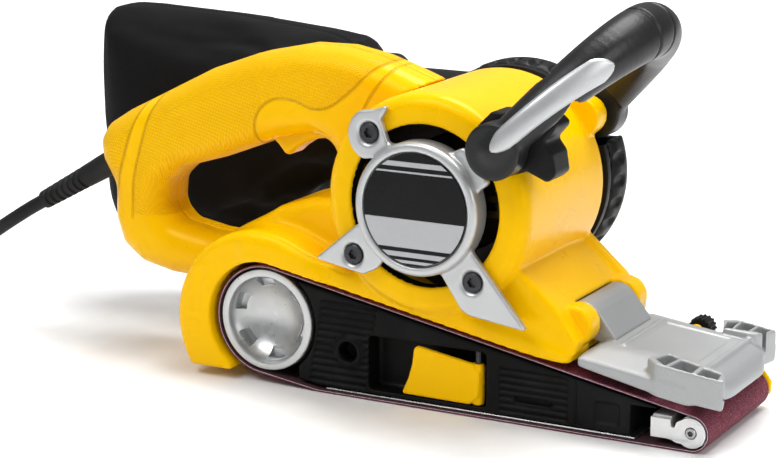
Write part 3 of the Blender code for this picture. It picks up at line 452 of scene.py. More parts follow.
class Field:
    """A solid as signed distances on a grid over a box, in mm."""

    def __init__(self, low, high, step):
        self.low, self.step = np.array(low, float), step
        axes = [np.arange(a, b + step, step, dtype=np.float32) for a, b in zip(low, high)]
        self.x = axes[0][:, None, None]
        self.y = axes[1][None, :, None]
        self.z = axes[2][None, None, :]
        self.flat = axes[0][:, None], axes[2][None, :]
        self.d = np.full([len(a) for a in axes], 1e3, np.float32)

    def slab(self, across, y_low, y_high, rim):
        """What is inside across, from y_low to y_high, its rim edges rounded."""
        across = across + rim
        through = np.abs(self.y - (y_low + y_high) / 2) - (y_high - y_low) / 2 + rim
        outside = np.sqrt(np.maximum(across, 0) ** 2 + np.maximum(through, 0) ** 2)
        return np.minimum(np.maximum(across, through), 0) + outside - rim

    def plate(self, outline, y_low, y_high, rim=0.0):
        """An outline in the XZ plane, made thick along Y."""
        across = polygon_distance(*self.flat, outline)[:, None, :].astype(np.float32)
        return self.slab(across, y_low, y_high, rim)

    def rod(self, x, z, radius, y_low, y_high, rim=0.0):
        """A cylinder along Y."""
        return self.slab(np.hypot(self.x - x, self.z - z) - radius, y_low, y_high, rim)

    def cone(self, x, z, y_wide, r_wide, y_narrow, r_narrow):
        """A countersink along Y."""
        share = (self.y - y_narrow) / (y_wide - y_narrow)
        slope = abs(r_wide - r_narrow) / abs(y_wide - y_narrow)
        across = np.hypot(self.x - x, self.z - z) - r_narrow - share * (r_wide - r_narrow)
        return np.maximum(across / math.hypot(1, slope), -share * abs(y_wide - y_narrow))

    def box(self, low, high, rim=0.0):
        q = [np.abs(axis - (a + b) / 2) - (b - a) / 2 + rim
             for axis, a, b in zip((self.x, self.y, self.z), low, high)]
        outside = np.sqrt(sum(np.maximum(v, 0) ** 2 for v in q))
        return np.minimum(np.maximum(np.maximum(q[0], q[1]), q[2]), 0) + outside - rim

    def wedge(self, corners, soft=0.0):
        """The convex solid around corners, its edges softened."""
        work = bmesh.new()
        for corner in corners:
            work.verts.new(corner)
        bmesh.ops.convex_hull(work, input=work.verts)
        bmesh.ops.recalc_face_normals(work, faces=work.faces)
        planes = []
        for face in work.faces:
            plane = (*face.normal, face.normal.dot(face.verts[0].co))
            if not any(sum(abs(a - b) for a, b in zip(plane, other)) < 1e-3 for other in planes):
                planes.append(plane)
        work.free()
        d = np.full(self.d.shape, -1e3, np.float32)
        for nx, ny, nz, offset in planes:
            side = nx * self.x + ny * self.y + nz * self.z - offset
            d = -soft_min(-d, -side, soft)
        return d

    def capsule(self, a, b, r_a, r_b):
        a, b = np.array(a, float), np.array(b, float)
        along = b - a
        px, py, pz = self.x - a[0], self.y - a[1], self.z - a[2]
        t = np.clip((px * along[0] + py * along[1] + pz * along[2]) / (along @ along), 0, 1)
        gap = np.sqrt((px - t * along[0]) ** 2 + (py - t * along[1]) ** 2 + (pz - t * along[2]) ** 2)
        return gap - (r_a + t * (r_b - r_a))

    def add(self, d, blend=0.0):
        self.d = soft_min(self.d, d, blend).astype(np.float32)

    def cut(self, d, blend=0.0):
        self.d = (-soft_min(-self.d, d, blend)).astype(np.float32)

    def keep(self, d, blend=0.0):
        self.d = (-soft_min(-self.d, -d, blend)).astype(np.float32)

    def sample(self, points):
        """Trilinear value and gradient at points given in grid units."""
        cell = np.clip(np.floor(points).astype(int), 0, np.array(self.d.shape) - 2)
        f = points - cell
        i, j, k = cell.T
        value = np.zeros(len(points))
        gradient = np.zeros((len(points), 3))
        for a in (0, 1):
            for b in (0, 1):
                for c in (0, 1):
                    corner = self.d[i + a, j + b, k + c]
                    w = [f[:, n] if bit else 1 - f[:, n] for n, bit in enumerate((a, b, c))]
                    value += corner * w[0] * w[1] * w[2]
                    gradient[:, 0] += corner * (2 * a - 1) * w[1] * w[2]
                    gradient[:, 1] += corner * (2 * b - 1) * w[0] * w[2]
                    gradient[:, 2] += corner * (2 * c - 1) * w[0] * w[1]
        return value, gradient / self.step

    def skin(self, name, look):
        """The surface as a mesh, by surface nets: one vertex in each cell the surface crosses."""
        d = self.d
        inside = d < 0
        shape = np.array(d.shape) - 1
        corners = [(a, b, c) for a in (0, 1) for b in (0, 1) for c in (0, 1)]
        count = sum(inside[a:shape[0] + a, b:shape[1] + b, c:shape[2] + c].astype(np.int8)
                    for a, b, c in corners)
        i, j, k = np.nonzero((count > 0) & (count < 8))
        total, crossings = np.zeros((len(i), 3)), np.zeros(len(i))
        for first in corners:
            for axis in range(3):
                if first[axis]:
                    continue
                second = tuple(v + (n == axis) for n, v in enumerate(first))
                va = d[i + first[0], j + first[1], k + first[2]]
                vb = d[i + second[0], j + second[1], k + second[2]]
                crossed = (va < 0) != (vb < 0)
                t = np.where(crossed, va / np.where(crossed, va - vb, 1), 0)
                point = np.array(first, float) + t[:, None] * (np.arange(3) == axis)
                total += np.where(crossed[:, None], point, 0)
                crossings += crossed
        at = np.stack([i, j, k], 1) + total / crossings[:, None]
        for _ in range(2):
            value, gradient = self.sample(at)
            size = np.maximum((gradient ** 2).sum(1), 0.2)
            move = -(value / size)[:, None] * gradient / self.step
            at += np.clip(move, -0.6, 0.6)
        number = np.full(shape, -1, np.int64)
        number[i, j, k] = np.arange(len(i))
        quads = []
        for axis in range(3):
            u, v = [n for n in range(3) if n != axis]
            low = [slice(1, shape[n]) for n in range(3)]
            low[axis] = slice(0, shape[axis])
            high = list(low)
            high[axis] = slice(1, shape[axis] + 1)
            a, b = inside[tuple(low)], inside[tuple(high)]
            for begins, flip in ((a & ~b, False), (b & ~a, True)):
                where = np.argwhere(begins)
                if not len(where):
                    continue
                where[:, u] += 1
                where[:, v] += 1
                ring = []
                for du, dv in ((1, 1), (0, 1), (0, 0), (1, 0)):
                    cell = where.copy()
                    cell[:, u] -= du
                    cell[:, v] -= dv
                    ring.append(number[tuple(cell.T)])
                ring = np.stack(ring, 1)
                quads.append(ring[:, ::-1] if flip != (axis == 1) else ring)
        return grid_mesh(name, (self.low + at * self.step) * MM, np.concatenate(quads), look)


def grid_mesh(name, places, quads, look):
    mesh = bpy.data.meshes.new(name)
    mesh.vertices.add(len(places))
    mesh.vertices.foreach_set("co", places.astype(np.float32).ravel())
    mesh.loops.add(quads.size)
    mesh.loops.foreach_set("vertex_index", quads.astype(np.int32).ravel())
    mesh.polygons.add(len(quads))
    mesh.polygons.foreach_set("loop_start", np.arange(0, quads.size, quads.shape[1], dtype=np.int32))
    mesh.update(calc_edges=True)
    mesh.validate()
    mesh.shade_smooth()
    return show(name, mesh, look)


def paint(piece, name, values):
    """Stores a value for each vertex, for a material to read."""
    attribute = piece.data.attributes.new(name, "FLOAT", "POINT")
    attribute.data.foreach_set("value", np.asarray(values, np.float32))


def vertices(mesh):
    """The mesh's vertices, in metres."""
    co = np.zeros(len(mesh.vertices) * 3)
    mesh.vertices.foreach_get("co", co)
    return co.reshape(-1, 3)


# ---- other modelling tools

def show(name, mesh, look):
    made = put(name, mesh)
    if look:
        mesh.materials.clear()
        mesh.materials.append(look)
    return made


def look_of(piece):
    return piece.data.materials[0] if piece.data.materials else None


def settle(source, name=None, look=None, sharp=35):
    """A plain mesh object of what source evaluates to, in its place."""
    name, look = name or source.name, look or look_of(source)
    source.name = name + "_rough"
    bpy.context.view_layer.update()
    evaluated = source.evaluated_get(bpy.context.evaluated_depsgraph_get())
    mesh = bpy.data.meshes.new_from_object(evaluated)
    mesh.transform(source.matrix_world)
    bpy.data.objects.remove(source, do_unlink=True)
    work = bmesh.new()
    work.from_mesh(mesh)
    bmesh.ops.remove_doubles(work, verts=work.verts, dist=0.000003)
    bmesh.ops.recalc_face_normals(work, faces=work.faces)
    work.to_mesh(mesh)
    work.free()
    mesh.shade_smooth()
    mesh.set_sharp_from_angle(angle=math.radians(sharp))
    return show(name, mesh, look)


def bevelled(piece, width, segments=3, angle=30):
    """The piece again, its sharp edges rounded."""
    bevel = piece.modifiers.new("round", "BEVEL")
    bevel.width = width * MM
    bevel.segments = segments
    bevel.angle_limit = math.radians(angle)
    return settle(piece)


def add_spline(curve, places):
    """A straight-edged line through places in metres."""
    spline = curve.splines.new("POLY")
    spline.points.add(len(places) - 1)
    for point, place in zip(spline.points, places):
        point.co = (*place, 1)
    return spline


def prism(name, outlines, y_low, y_high, look=None, rim=0.0):
    """An outline in the XZ plane, with any holes after it, from y_low to y_high."""
    curve = bpy.data.curves.new(name, "CURVE")
    curve.dimensions = "2D"
    curve.fill_mode = "BOTH"
    curve.extrude = (y_high - y_low) / 2 * MM
    for outline in outlines:
        add_spline(curve, [(x * MM, z * MM, 0) for x, z in outline]).use_cyclic_u = True
    flat = put(name + "_outline", curve)
    flat.rotation_euler = (math.pi / 2, 0, 0)
    flat.location = (0, (y_low + y_high) / 2 * MM, 0)
    made = settle(flat, name, look)
    return bevelled(made, rim) if rim else made


def net(name, places, width, closed=False):
    """Rows of width points joined by faces; a closed net's ends and sides meet."""
    rows, faces = len(places) // width, []
    for row in range(rows if closed else rows - 1):
        for i in range(width if closed else width - 1):
            first, second = row * width + i, row * width + (i + 1) % width
            faces.append((first, second, (second + width) % len(places), (first + width) % len(places)))
    mesh = bpy.data.meshes.new(name)
    mesh.from_pydata(places, [], faces)
    return show(name, mesh, None)


def along_y(profile, *ys):
    """The corners of a profile in the XZ plane at each y."""
    return [(x, y, z) for y in ys for x, z in profile]


def lathe(name, profile, centre, look=None, axis="Y", steps=72, sharp=35):
    """A closed profile of (radius, distance along the axis), turned about an axis through centre."""
    places = []
    for s in range(steps):
        turn = 2 * math.pi * s / steps
        for r, h in profile:
            a, b = r * math.cos(turn), r * math.sin(turn)
            place = {"Y": (a, h, b), "X": (h, a, b), "Z": (a, b, h)}[axis]
            places.append([(p + c) * MM for p, c in zip(place, centre)])
    return settle(net(name + "_turned", places, len(profile), True), name, look, sharp)


def carve(target, tools, operation="DIFFERENCE"):
    """The target after a Boolean with each tool; the tools are removed."""
    for tool in tools:
        modifier = target.modifiers.new(tool.name, "BOOLEAN")
        modifier.operation = operation
        modifier.solver = "EXACT"
        modifier.object = tool
    made = settle(target)
    for tool in tools:
        bpy.data.objects.remove(tool, do_unlink=True)
    return made


def block(name, low, high, look=None, rim=0.0):
    made = prism(name, [[(low[0], low[2]), (high[0], low[2]), (high[0], high[2]), (low[0], high[2])]],
                 low[1], high[1], look)
    return bevelled(made, rim, 2) if rim else made


def done(piece, body, slot_name, *nodes):
    """Puts a piece on its body, in place of its CAD nodes."""
    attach(piece, body)
    if nodes:
        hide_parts(*nodes)
    return piece


# ---- cord, coil, tie, plug, strain relief

RELIEF_START, RELIEF_END = Vector((-221.0, 0, 94.1)), Vector((-273.6, 0, 64.5))
CORD_STOPS = [(-273.9, 0, 64.3), (-284, 0, 58.6), (-303, -0.5, 46.5), (-325, -1, 31.0),
              (-346, -1, 16.5), (-366, 0.5, 6.9), (-386, 2.5, 3.9), (-404.5, 3.5, 3.7)]
COIL_X, COIL_Y = -432.0, -42.0
COIL_MID_R = 38.5
COIL_TURNS = 9.5
PLUG_X, PLUG_Y, PLUG_Z = COIL_X + 36.0, COIL_Y - 46.0, 17.7
# Where along the winding the cord steps sideways or up by one diameter: (turn, change).
SIDE_STEPS = [(0.5, -1), (1.5, -1), (3.0, 1), (4.0, 1), (5.5, -1), (6.5, -1), (8.0, 1), (9.0, 1)]
UP_STEPS = [(2.25, 1), (4.75, 1), (7.25, 1)]
STEP_TURN = 0.25                              # share of a turn that each step takes


def through(stops, count):
    """A smooth curve through stops, as count evenly spread points (Catmull-Rom)."""
    stops = [Vector(s) for s in stops]
    padded = [stops[0] * 2 - stops[1]] + stops + [stops[-1] * 2 - stops[-2]]
    dense = []
    for i in range(1, len(padded) - 2):
        a, b, c, d = padded[i - 1:i + 3]
        for k in range(20):
            t = k / 20
            dense.append(0.5 * (2 * b + (c - a) * t + (2 * a - 5 * b + 4 * c - d) * t * t
                                + (3 * b - a - 3 * c + d) * t ** 3))
    dense.append(stops[-1])
    lengths = [0.0]
    for a, b in zip(dense, dense[1:]):
        lengths.append(lengths[-1] + (b - a).length)
    route = []
    for i in range(count):
        wanted = lengths[-1] * i / (count - 1)
        k = min(max(int(np.searchsorted(lengths, wanted)) - 1, 0), len(dense) - 2)
        route.append(dense[k].lerp(dense[k + 1], (wanted - lengths[k]) / (lengths[k + 1] - lengths[k])))
    return route


def stepped(turn, steps):
    """How many diameters the steps have moved the cord by this turn."""
    total = 0.0
    for begins, change in steps:
        t = min(max((turn - begins) / STEP_TURN, 0), 1)
        total += change * t * t * (3 - 2 * t)
    return total


def coil_route():
    """The winding: four layers, three cords across, each step taken where the cord beside it has room."""
    per_turn, route = 44, []
    for s in range(1, int(COIL_TURNS * per_turn) + 1):
        turn = s / per_turn
        angle = math.pi / 2 + 2 * math.pi * turn
        radius = COIL_MID_R + 2 * CORD_R * (1 + stepped(turn, SIDE_STEPS))
        route.append(Vector((COIL_X + radius * math.cos(angle), COIL_Y + radius * math.sin(angle),
                             CORD_R * (1 + 2 * stepped(turn, UP_STEPS)) + 0.1)))
    return route


def build_cord():
    lead_in = [(-418.0, 3.5, 3.6), (COIL_X, COIL_Y + COIL_MID_R + 2 * CORD_R, 3.6)]
    free = through(CORD_STOPS + lead_in, 46)
    coil = coil_route()
    tail = through([coil[-1], coil[-1] + Vector((9, -0.1, -0.6)), (PLUG_X - 10, PLUG_Y, PLUG_Z + 0.8),
                    (PLUG_X + 0.5, PLUG_Y, PLUG_Z)], 10)
    route = free + coil + tail[1:]
    curve = bpy.data.curves.new("mains_cord", "CURVE")
    curve.dimensions = "3D"
    curve.bevel_depth = CORD_R * MM
    curve.bevel_resolution = 4
    curve.use_fill_caps = True
    add_spline(curve, [place * MM for place in route]).use_smooth = True
    cord = put("mains_cord", curve)
    sheath = black_plastic("cord_sheath", 0.016, 0.42, 1400, 0.00004, 0.012)
    curve.materials.append(sheath)
    done(cord, "root", "black_rubber", "cord", "cord_coil")
    rubber = black_plastic("moulded_rubber", 0.018, 0.55, 1100, 0.00005, 0.012)
    plug = build_plug(rubber)
    tie = build_tie()
    relief = build_relief(rubber)


def build_relief(look):
    """Tapered rubber sleeve with flexing grooves, between the handle and the cord."""
    along = RELIEF_END - RELIEF_START
    length, rings = along.length, 7
    profile = [(3.62, 0.0), (3.62, length), (4.5, length), (4.7, length - 0.5)]
    for i in range(rings):
        at = length - 3.5 - i * 4.1
        r = 4.7 + 1.5 * (length - at) / length
        profile += [(r, at), (r - 0.9, at - 0.5), (r - 0.9, at - 1.6), (r + 0.1, at - 2.1)]
    profile += [(6.1, 14.0), (6.1, 0.0)]
    sleeve = lathe("strain_relief_sleeve", profile, (0, 0, 0), look, "Z", 40)
    turn = along.to_track_quat("Z", "Y").to_matrix().to_4x4()
    sleeve.data.transform(Matrix.Translation(RELIEF_START * MM) @ turn)
    return done(sleeve, "root", "black_rubber", "strain_relief")


def build_plug(look):
    """Round two-pin plug, pins towards +X."""
    body = [(0, 0), (3.9, 0), (4.7, 1), (4.7, 4), (4.2, 4.6), (4.2, 6.2), (4.9, 6.8), (4.9, 9.4),
            (4.5, 10), (4.5, 11.4), (5.3, 12), (6.6, 16), (10.5, 20.0), (15.5, 23.5), (17.2, 26.5),
            (17.4, 29), (17.4, 42.5), (16.8, 44.6), (15.6, 45.6), (0, 45.6)]
    plug = lathe("plug_body", body, (PLUG_X, PLUG_Y, PLUG_Z), look, "X", 56)
    grips = [block("grip", (PLUG_X + 31, PLUG_Y - 20, PLUG_Z + z - 0.7),
                   (PLUG_X + 41, PLUG_Y - 16.4, PLUG_Z + z + 0.7)) for z in (-5, -2.5, 0, 2.5, 5)]
    plug = carve(plug, grips)
    brass = turned_metal("plug_pins", (0.78, 0.74, 0.66), 0.22)
    for side in (-9.5, 9.5):
        pin = [(0, 43.0), (1.9, 43.0), (1.9, 53.5), (2.0, 53.6), (2.35, 54.0), (2.35, 62.8), (1.6, 64.6),
               (0, 65.0)]
        made = lathe(f"plug_pin_{'near' if side < 0 else 'far'}", pin, (PLUG_X, PLUG_Y + side, PLUG_Z),
                     brass, "X", 24)
        made.parent = plug
    return done(plug, "root", "black_rubber", "plug")


def build_tie():
    """Hook-and-loop strap round the coil."""
    near, far = COIL_Y - COIL_MID_R - 10.9, COIL_Y - COIL_MID_R + 11.2
    top = 8 * CORD_R + 0.5
    outer = fillet([(near - 1, 0.05), (far + 1, 0.05), (far + 1, top + 1), (near - 1, top + 1)], 5.0)
    inner = fillet([(near, 0.1), (far, 0.1), (far, top), (near, top)], 4.5)
    strap = prism("coil_strap", [outer, inner], -4.0, 4.0, cloth_weave("strap_weave", 0.02))
    strap.data.transform(Matrix.Translation((COIL_X * MM, 0, 0)) @ Matrix.Rotation(math.pi / 2, 4, "Z"))
    return done(strap, "root", "bag_fabric", "coil_tie")


# ---- housing

GUARD = [(-125, 64, 6.5), (-112, 63, 6.0), (-78, 55, 4.5), (34, 35.6, 3.2), (34, 34.5, 2.8), (-120, 45, 12)]
LOBE_R, LOBE_NEAR, LOBE_FAR = 9.2, -32.0, 33.6
HUB_HOLE_R = 36.5                             # the opening behind the hub, its wall black as painted shade
LOBE_RIB = [(2.9, 78.5), (29.7, 55.3), (39.6, 41.4), (38.6, 36.0), (24.0, 36.0), (-10, 60)]
ARROW = [(-149.8, 54.6), (-157.6, 50.8), (-155.9, 48.6), (-158.9, 39.5), (-160.3, 30.0), (-155.2, 30.8),
         (-153.9, 38.6), (-151.4, 46.2), (-148.0, 47.0)]
BAR = [(-160.9, 26.0), (-155.6, 26.8), (-153.6, 19.4), (-159.4, 18.8)]
HANDLE_SCREWS = [(-88.0, 128.0), (-205.5, 62.0)]
SADDLE = [(-146, 60, 4), (-120, 77, 5), (-104, 82.5, 5), (-84, 84.5, 5), (-84, 60, 5)]
SCREWS = [(-58.0, 127.2), (-66.1, 71.2), (-6.6, 65.4)]


def build_housing(look, shadow):
    body = Field((-170, -48, -1), (108, 45, 149), 1.15)
    body.add(body.rod(*MOTOR, BARREL_R, BARREL_NEAR, BARREL_FAR - 0.3, 6.5))
    crest = [(2.9, 78.5), (30.0, 55.3), (32.0, 52.5), (32.0, 33.0), (-75, 47), (-70, 62), (-30, 84)]
    slope = [(x - 2.2 if x > 0 else x, 41.0, z - 1.6 if z > 50 else z) for x, z in crest]
    body.add(body.wedge(along_y(crest, -40.2, 17.0) + slope, 1.0), 1.5)
    body.add(body.plate(hull(GUARD), -SIDE_Y, SIDE_Y, 4.0), 3.0)
    body.add(body.rod(*FENDER, -SIDE_Y, SIDE_Y, 4.0), 5.0)
    body.add(body.plate(hull(SADDLE), -24, 24, 6.0), 7.0)
    wall = [(-150, 3.2), (96, 3.2), (100.5, 6.5), (101, 12.0), (97, 17.0), (60, 24.8), (36, 32.8), (-100, 60)]
    body.add(body.plate(wall, 37.0, SIDE_Y + 0.3, 1.0), 1.0)
    body.add(body.plate(hull([(*KNOB, 3.6), (61.5, 20, 5.0)]), 38.7, SIDE_Y, 0.8), 1.0)
    for low, high in ((-40.4, LOBE_NEAR + 0.8), (LOBE_FAR - 0.8, 40.6)):
        body.add(body.plate(LOBE_RIB, low, high, 1.6), 1.0)
    for low, high in ((LOBE_NEAR, HOOD_NEAR - 0.3), (HOOD_FAR + 0.3, LOBE_FAR)):
        body.add(body.plate(hull([(*HINGE, LOBE_R), (22, 42, 9)]), low, high, 1.5), 0.8)
    for low, high in ((BARREL_NEAR, -34.0), (30.0, BARREL_FAR - 0.3)):
        body.add(body.rod(*PIVOT, 9.0, low, high, 1.0), 2.0)
    body.cut(body.plate(belt_loop(BELT_THICKNESS + 2.4), -60, 38.5), 0.8)
    body.cut(body.box((-200, -60, -30), (-70, 38.5, 4.8)), 0.8)
    for mark in (ARROW, BAR):
        outline = np.abs(body.plate(mark, -60, -40)) - 0.35
        body.add(np.maximum(np.maximum(outline, -SIDE_Y - 0.7 - body.y), body.y + 38), 0.5)
    body.cut(body.box((-137.5, -60, -10), (-60, 38.5, 12.0)), 0.8)
    body.cut(body.box((-200, 30, -30), (120, 60, 3.1)))
    body.cut(body.rod(*MOTOR, 46.0, -38.0, 60))
    body.cut(body.rod(*MOTOR, HUB_HOLE_R, -70, 0), 1.5)
    body.cut(body.rod(*WHEEL, 9.3, 30, 60))
    body.cut(body.rod(*HINGE, 9.0, HOOD_NEAR - 0.4, HOOD_FAR + 0.4))
    body.cut(body.box((HINGE[0], HOOD_NEAR - 0.4, 30), (70, HOOD_FAR + 0.4, 70)))
    body.cut(body.rod(*HINGE, 2.8, LOBE_NEAR + 0.3, LOBE_FAR - 0.3))
    for x, z in SCREWS:
        body.cut(body.rod(x, z, 2.9, -60, -32))
    for low, high in ((-60, -38.0), (34.0, 60)):
        body.cut(body.rod(*PIVOT, 4.4, low, high))
    body.cut(body.rod(*KNOB, 2.4, 30, 60))
    housing = body.skin("housing", look)
    housing.data.materials.append(shadow)
    # Faces deep in the hub opening take the black plastic: painted shade inside the bore.
    co = vertices(housing.data) / MM
    in_hole = np.hypot(co[:, 0] - MOTOR_X, co[:, 2] - MOTOR_Z) < HUB_HOLE_R + 0.9
    deep = in_hole & (co[:, 1] > -45.4) & (co[:, 1] < 20)
    for face in housing.data.polygons:
        face.material_index = int(all(deep[v] for v in face.vertices))
    return done(housing, "root", "yellow_plastic", "main_housing")


# ---- D handle and controls

HANDLE = [(-45, 84), (-45, 142.5), (-64, 149.3), (-78, 153.5), (-95, 156.5), (-115, 156.2), (-141, 150.5),
          (-166, 141.5), (-196, 126.5), (-214, 117.5), (-226, 110), (-231, 102), (-229.5, 92), (-222.5, 80),
          (-223.0, 64), (-218.5, 50.5), (-207, 42), (-190, 38.5), (-140, 37), (-140, 58), (-150, 60.5),
          (-168, 61.5), (-186, 64.5), (-193.0, 71), (-191.5, 84), (-183, 92.0), (-160, 99), (-142, 106),
          (-131, 110.5), (-118, 113.5), (-108, 115.0), (-99.5, 111.5), (-95.5, 104), (-98, 93), (-101, 80),
          (-95, 72)]
GRIP_BOTTOM = 68
TRIGGER = [(-136.5, 119), (-135.0, 111.0), (-131.0, 107.8), (-127.2, 103.4), (-124.6, 103.2), (-121, 106.5),
           (-116, 109.8), (-110, 112.3), (-104.5, 113.0), (-102.2, 117), (-103, 124), (-108, 127.5),
           (-130, 127.0), (-135.5, 124.5)]


def curve_2d(stops, count=40):
    return [(p.x, p.z) for p in through([(x, 0, z) for x, z in stops], count)]


def build_handle(look):
    whole = Field((-236, -19, 30), (-44, 19, 160), 1.0)
    whole.add(whole.plate(fillet(HANDLE, 9, 7), -HANDLE_HALF, HANDLE_HALF, 12.0))
    whole.cut(whole.rod(*MOTOR, BARREL_R + 0.3, -60, 60))
    whole.cut(whole.rod(*FENDER[:2], FENDER[2] + 0.3, -60, 60))
    whole.cut(whole.plate(hull(SADDLE), -30, 30) - 0.3)
    whole.cut(whole.plate(hull(GUARD), -60, 60) - 0.3)
    whole.cut(whole.plate([(-139, 90), (-101.5, 90), (-101.5, 121), (-109, 131), (-137, 131), (-139, 124)],
                          -7.5, 7.5))
    whole.cut(whole.capsule(RELIEF_START - (RELIEF_END - RELIEF_START) * 0.3, RELIEF_END, 6.5, 6.5), 0.8)
    whole.cut(whole.rod(-152.0, 125.0, 4.6, 5, 40), 0.5)
    for x, z in HANDLE_SCREWS:
        whole.cut(whole.rod(x, z, 3.6, 13.5, 40), 0.5)
    solid = whole.d
    band_front = curve_2d([(-190.5, 132), (-197, 118), (-203, 100), (-207, 84), (-208, 66)])
    band_rear = curve_2d([(-199.5, 127.5), (-206.5, 113), (-212.5, 95), (-217, 80), (-221, 70)])
    trigger_zone = curve_2d([(-137.2, 108), (-137.5, 118), (-134, 126.5), (-126, 131.5), (-116, 131.5),
                             (-106, 128.5), (-97, 130), (-86, 138), (-76, 147.5), (-70, 152)], 60)
    seam = curve_2d([(-66, 149.5), (-75, 137), (-80, 128)], 12)
    for name, side in (("near", -1), ("far", 1)):
        half = Field((-236, -19, 30), (-44, 19, 160), 1.0)
        half.d = solid.copy()
        half.keep(-side * half.y + 0.12, 0.7)
        shell = half.skin(f"handle_half_{name}", look)
        co = vertices(shell.data) / MM
        paint(shell, "line", np.minimum.reduce([line_distance(co[:, 0], co[:, 2], line) for line in (
            band_front, band_rear, trigger_zone, seam)]))
        paint(shell, "grip", grip_zone(co, band_front, band_rear, trigger_zone))
        done(shell, "root", "yellow_plastic", f"handle_shell_{name}")


def grip_zone(co, band_front, band_rear, trigger_zone):
    """Above zero where the handle has a leathery grain, in mm from the zone's edge."""
    x, z = co[:, [0]], co[:, [2]]
    front = band_front + [(-196, 60), (-180, 62), (-180, 90), (-137.2, 104)] + trigger_zone
    front += [(-70, 165), (-190, 165)]
    rear = band_rear + [(-240, 70), (-240, 135), (-199.5, 135)]
    inside = np.maximum(-polygon_distance(x, z, front), -polygon_distance(x, z, rear))[:, 0]
    return np.minimum(inside, co[:, 2] - GRIP_BOTTOM)


def build_controls(look, dark):
    paddle = Field((-139, -8.5, 101), (-100, 8.5, 129), 0.6)
    paddle.add(paddle.plate(fillet(TRIGGER, 2.5), -7.0, 7.0, 2.2))
    done(paddle.skin("trigger_paddle", look), "trigger", "yellow_plastic", "trigger")
    button = [(0, 5.5), (6.2, 5.5), (6.2, 7.0), (4.2, 7.0), (4.2, 18.2), (3.9, 19.0), (3.2, 19.4),
              (2.4, 19.2), (0, 18.9)]
    done(lathe("lock_on_button", button, (-152.0, 0, 125.0), dark, steps=40), "lock_button",
         "black_plastic", "lock_button")


# ---- hub

HUB_FACE = -55.0
ARMS = {
    "claw": [(-44, 118)] + arc(-56.5, 126.5, 12.0, 250, 120, 12) + [
        (-55, 138.0), (-48.0, 140.6), (-52, 133.5), (-48.5, 124), (-40, 120)],
    "rear": [(-54, 82), (-63.6, 85.7), (-85.0, 67.8), (-84, 66.8), (-60.8, 62.6), (-54, 66), (-46, 76)],
    "front": [(-23.5, 69.5), (-17, 60), (-12, 52.5), (-8, 50.3), (18.6, 46.8), (19.0, 47.8), (-8.3, 80.7),
              (-14, 84)],
    "stub": [(-18.3, 114), (-19, 121.5), (-11.6, 125), (1.2, 110.2), (-4.7, 105.6), (-12, 108)],
}


def build_hub(look, screw_look):
    hub = Field((-88, -57, 42), (22, -41, 144), 0.6)
    for name, outline in ARMS.items():
        hub.add(hub.plate(fillet(outline, 2.0 if name != "front" else 1.0), -50.0, -46.3, 0.9))
    hub.add(hub.rod(*MOTOR, 30.0, HUB_FACE, -42.5, 2.2), 1.6)
    hub.cut(hub.rod(*MOTOR, 25.9, -70, HUB_FACE + 1.4), 0.6)
    hub.cut(hub.rod(*MOTOR, 26.8, HUB_FACE + 4.5, -30))
    for x, z in SCREWS:
        hub.cut(hub.cone(x, z, -50.6, 6.6, -48.6, 4.6), 0.5)
        hub.cut(hub.rod(x, z, 4.7, -60, -47.9))
        hub.cut(hub.rod(x, z, 2.7, -60, -30))
    done(hub.skin("hub_ring_and_arms", look), "root", "silver_paint", "hub_cover")
    for i, (x, z) in enumerate(SCREWS, 1):
        head = [(0, -48.3), (2.0, -48.3), (2.1, -49.6), (3.9, -49.6), (4.4, -49.2), (4.4, -48.2),
                (2.4, -48.2), (2.4, -34.0), (0, -34.0)]
        screw = lathe(f"hub_cap_screw_{i}", head, (x, 0, z), screw_look, steps=40)
        star = lobed(x, z, 1.9, 0.55, 6, 48)
        done(carve(screw, [prism("socket", [star], -52, -48.0)]), "root", "dark_screws", f"hub_screw_{i}")


def disc_band(radius, z_low, z_high, count=40):
    """The part of a disc between two heights, as an outline about the motor's axis."""
    low, high = (math.asin(max(-1, min(1, z / radius))) for z in (z_low, z_high))
    turns = [low + (high - low) * i / count for i in range(count + 1)]
    right = [(radius * math.cos(turn), radius * math.sin(turn)) for turn in turns]
    left = [(-x, z) for x, z in right[::-1]]
    return [(MOTOR_X + x, MOTOR_Z + z) for x, z in right + left]


def build_badge():
    black = Nodes("badge_black")
    black.set(Coat_Weight=0.1, Coat_Roughness=0.08, Specular_IOR_Level=0.1)
    black.colour(black.mix(black.noise(40), (0.003, 0.003, 0.0035), (0.007, 0.007, 0.008)))
    black.roughness(black.patches(90, 2.0, 0.22, 0.3))
    grey = turned_metal("badge_grey", (0.48, 0.485, 0.5), 0.42, 0.5)
    disc = circle(*MOTOR, 25.2, 96)
    done(prism("badge_disc", [disc], HUB_FACE + 0.3, HUB_FACE + 1.2, black.material), "root", "badge_black",
         "hub_badge")
    bands = {"upper": (19.0, 21.2), "thin": (16.2, 17.0), "field": (-17.3, -4.4), "lower": (-21.4, -19.2),
             "last": (-24.2, -22.9)}
    for name, band in bands.items():
        stripe = prism(f"badge_band_{name}", [disc_band(24.9, *band)], HUB_FACE + 0.12, HUB_FACE + 0.35, grey)
        done(stripe, "root", "badge_black")


# ---- hood and its knob

POCKETS = [[(73.6, 35.2), (75.8, 25.6), (80.6, 27.2), (79.4, 40.2)],
           [(82.6, 27.9), (90.9, 29.8), (91.4, 40.2), (81.6, 40.2)],
           [(93.2, 30.6), (101.2, 32.2), (102.4, 39.8), (93.6, 40.2)]]


def both_sides(corners):
    return [(x, side * y, z) for side in (-1, 1) for x, y, z in corners]


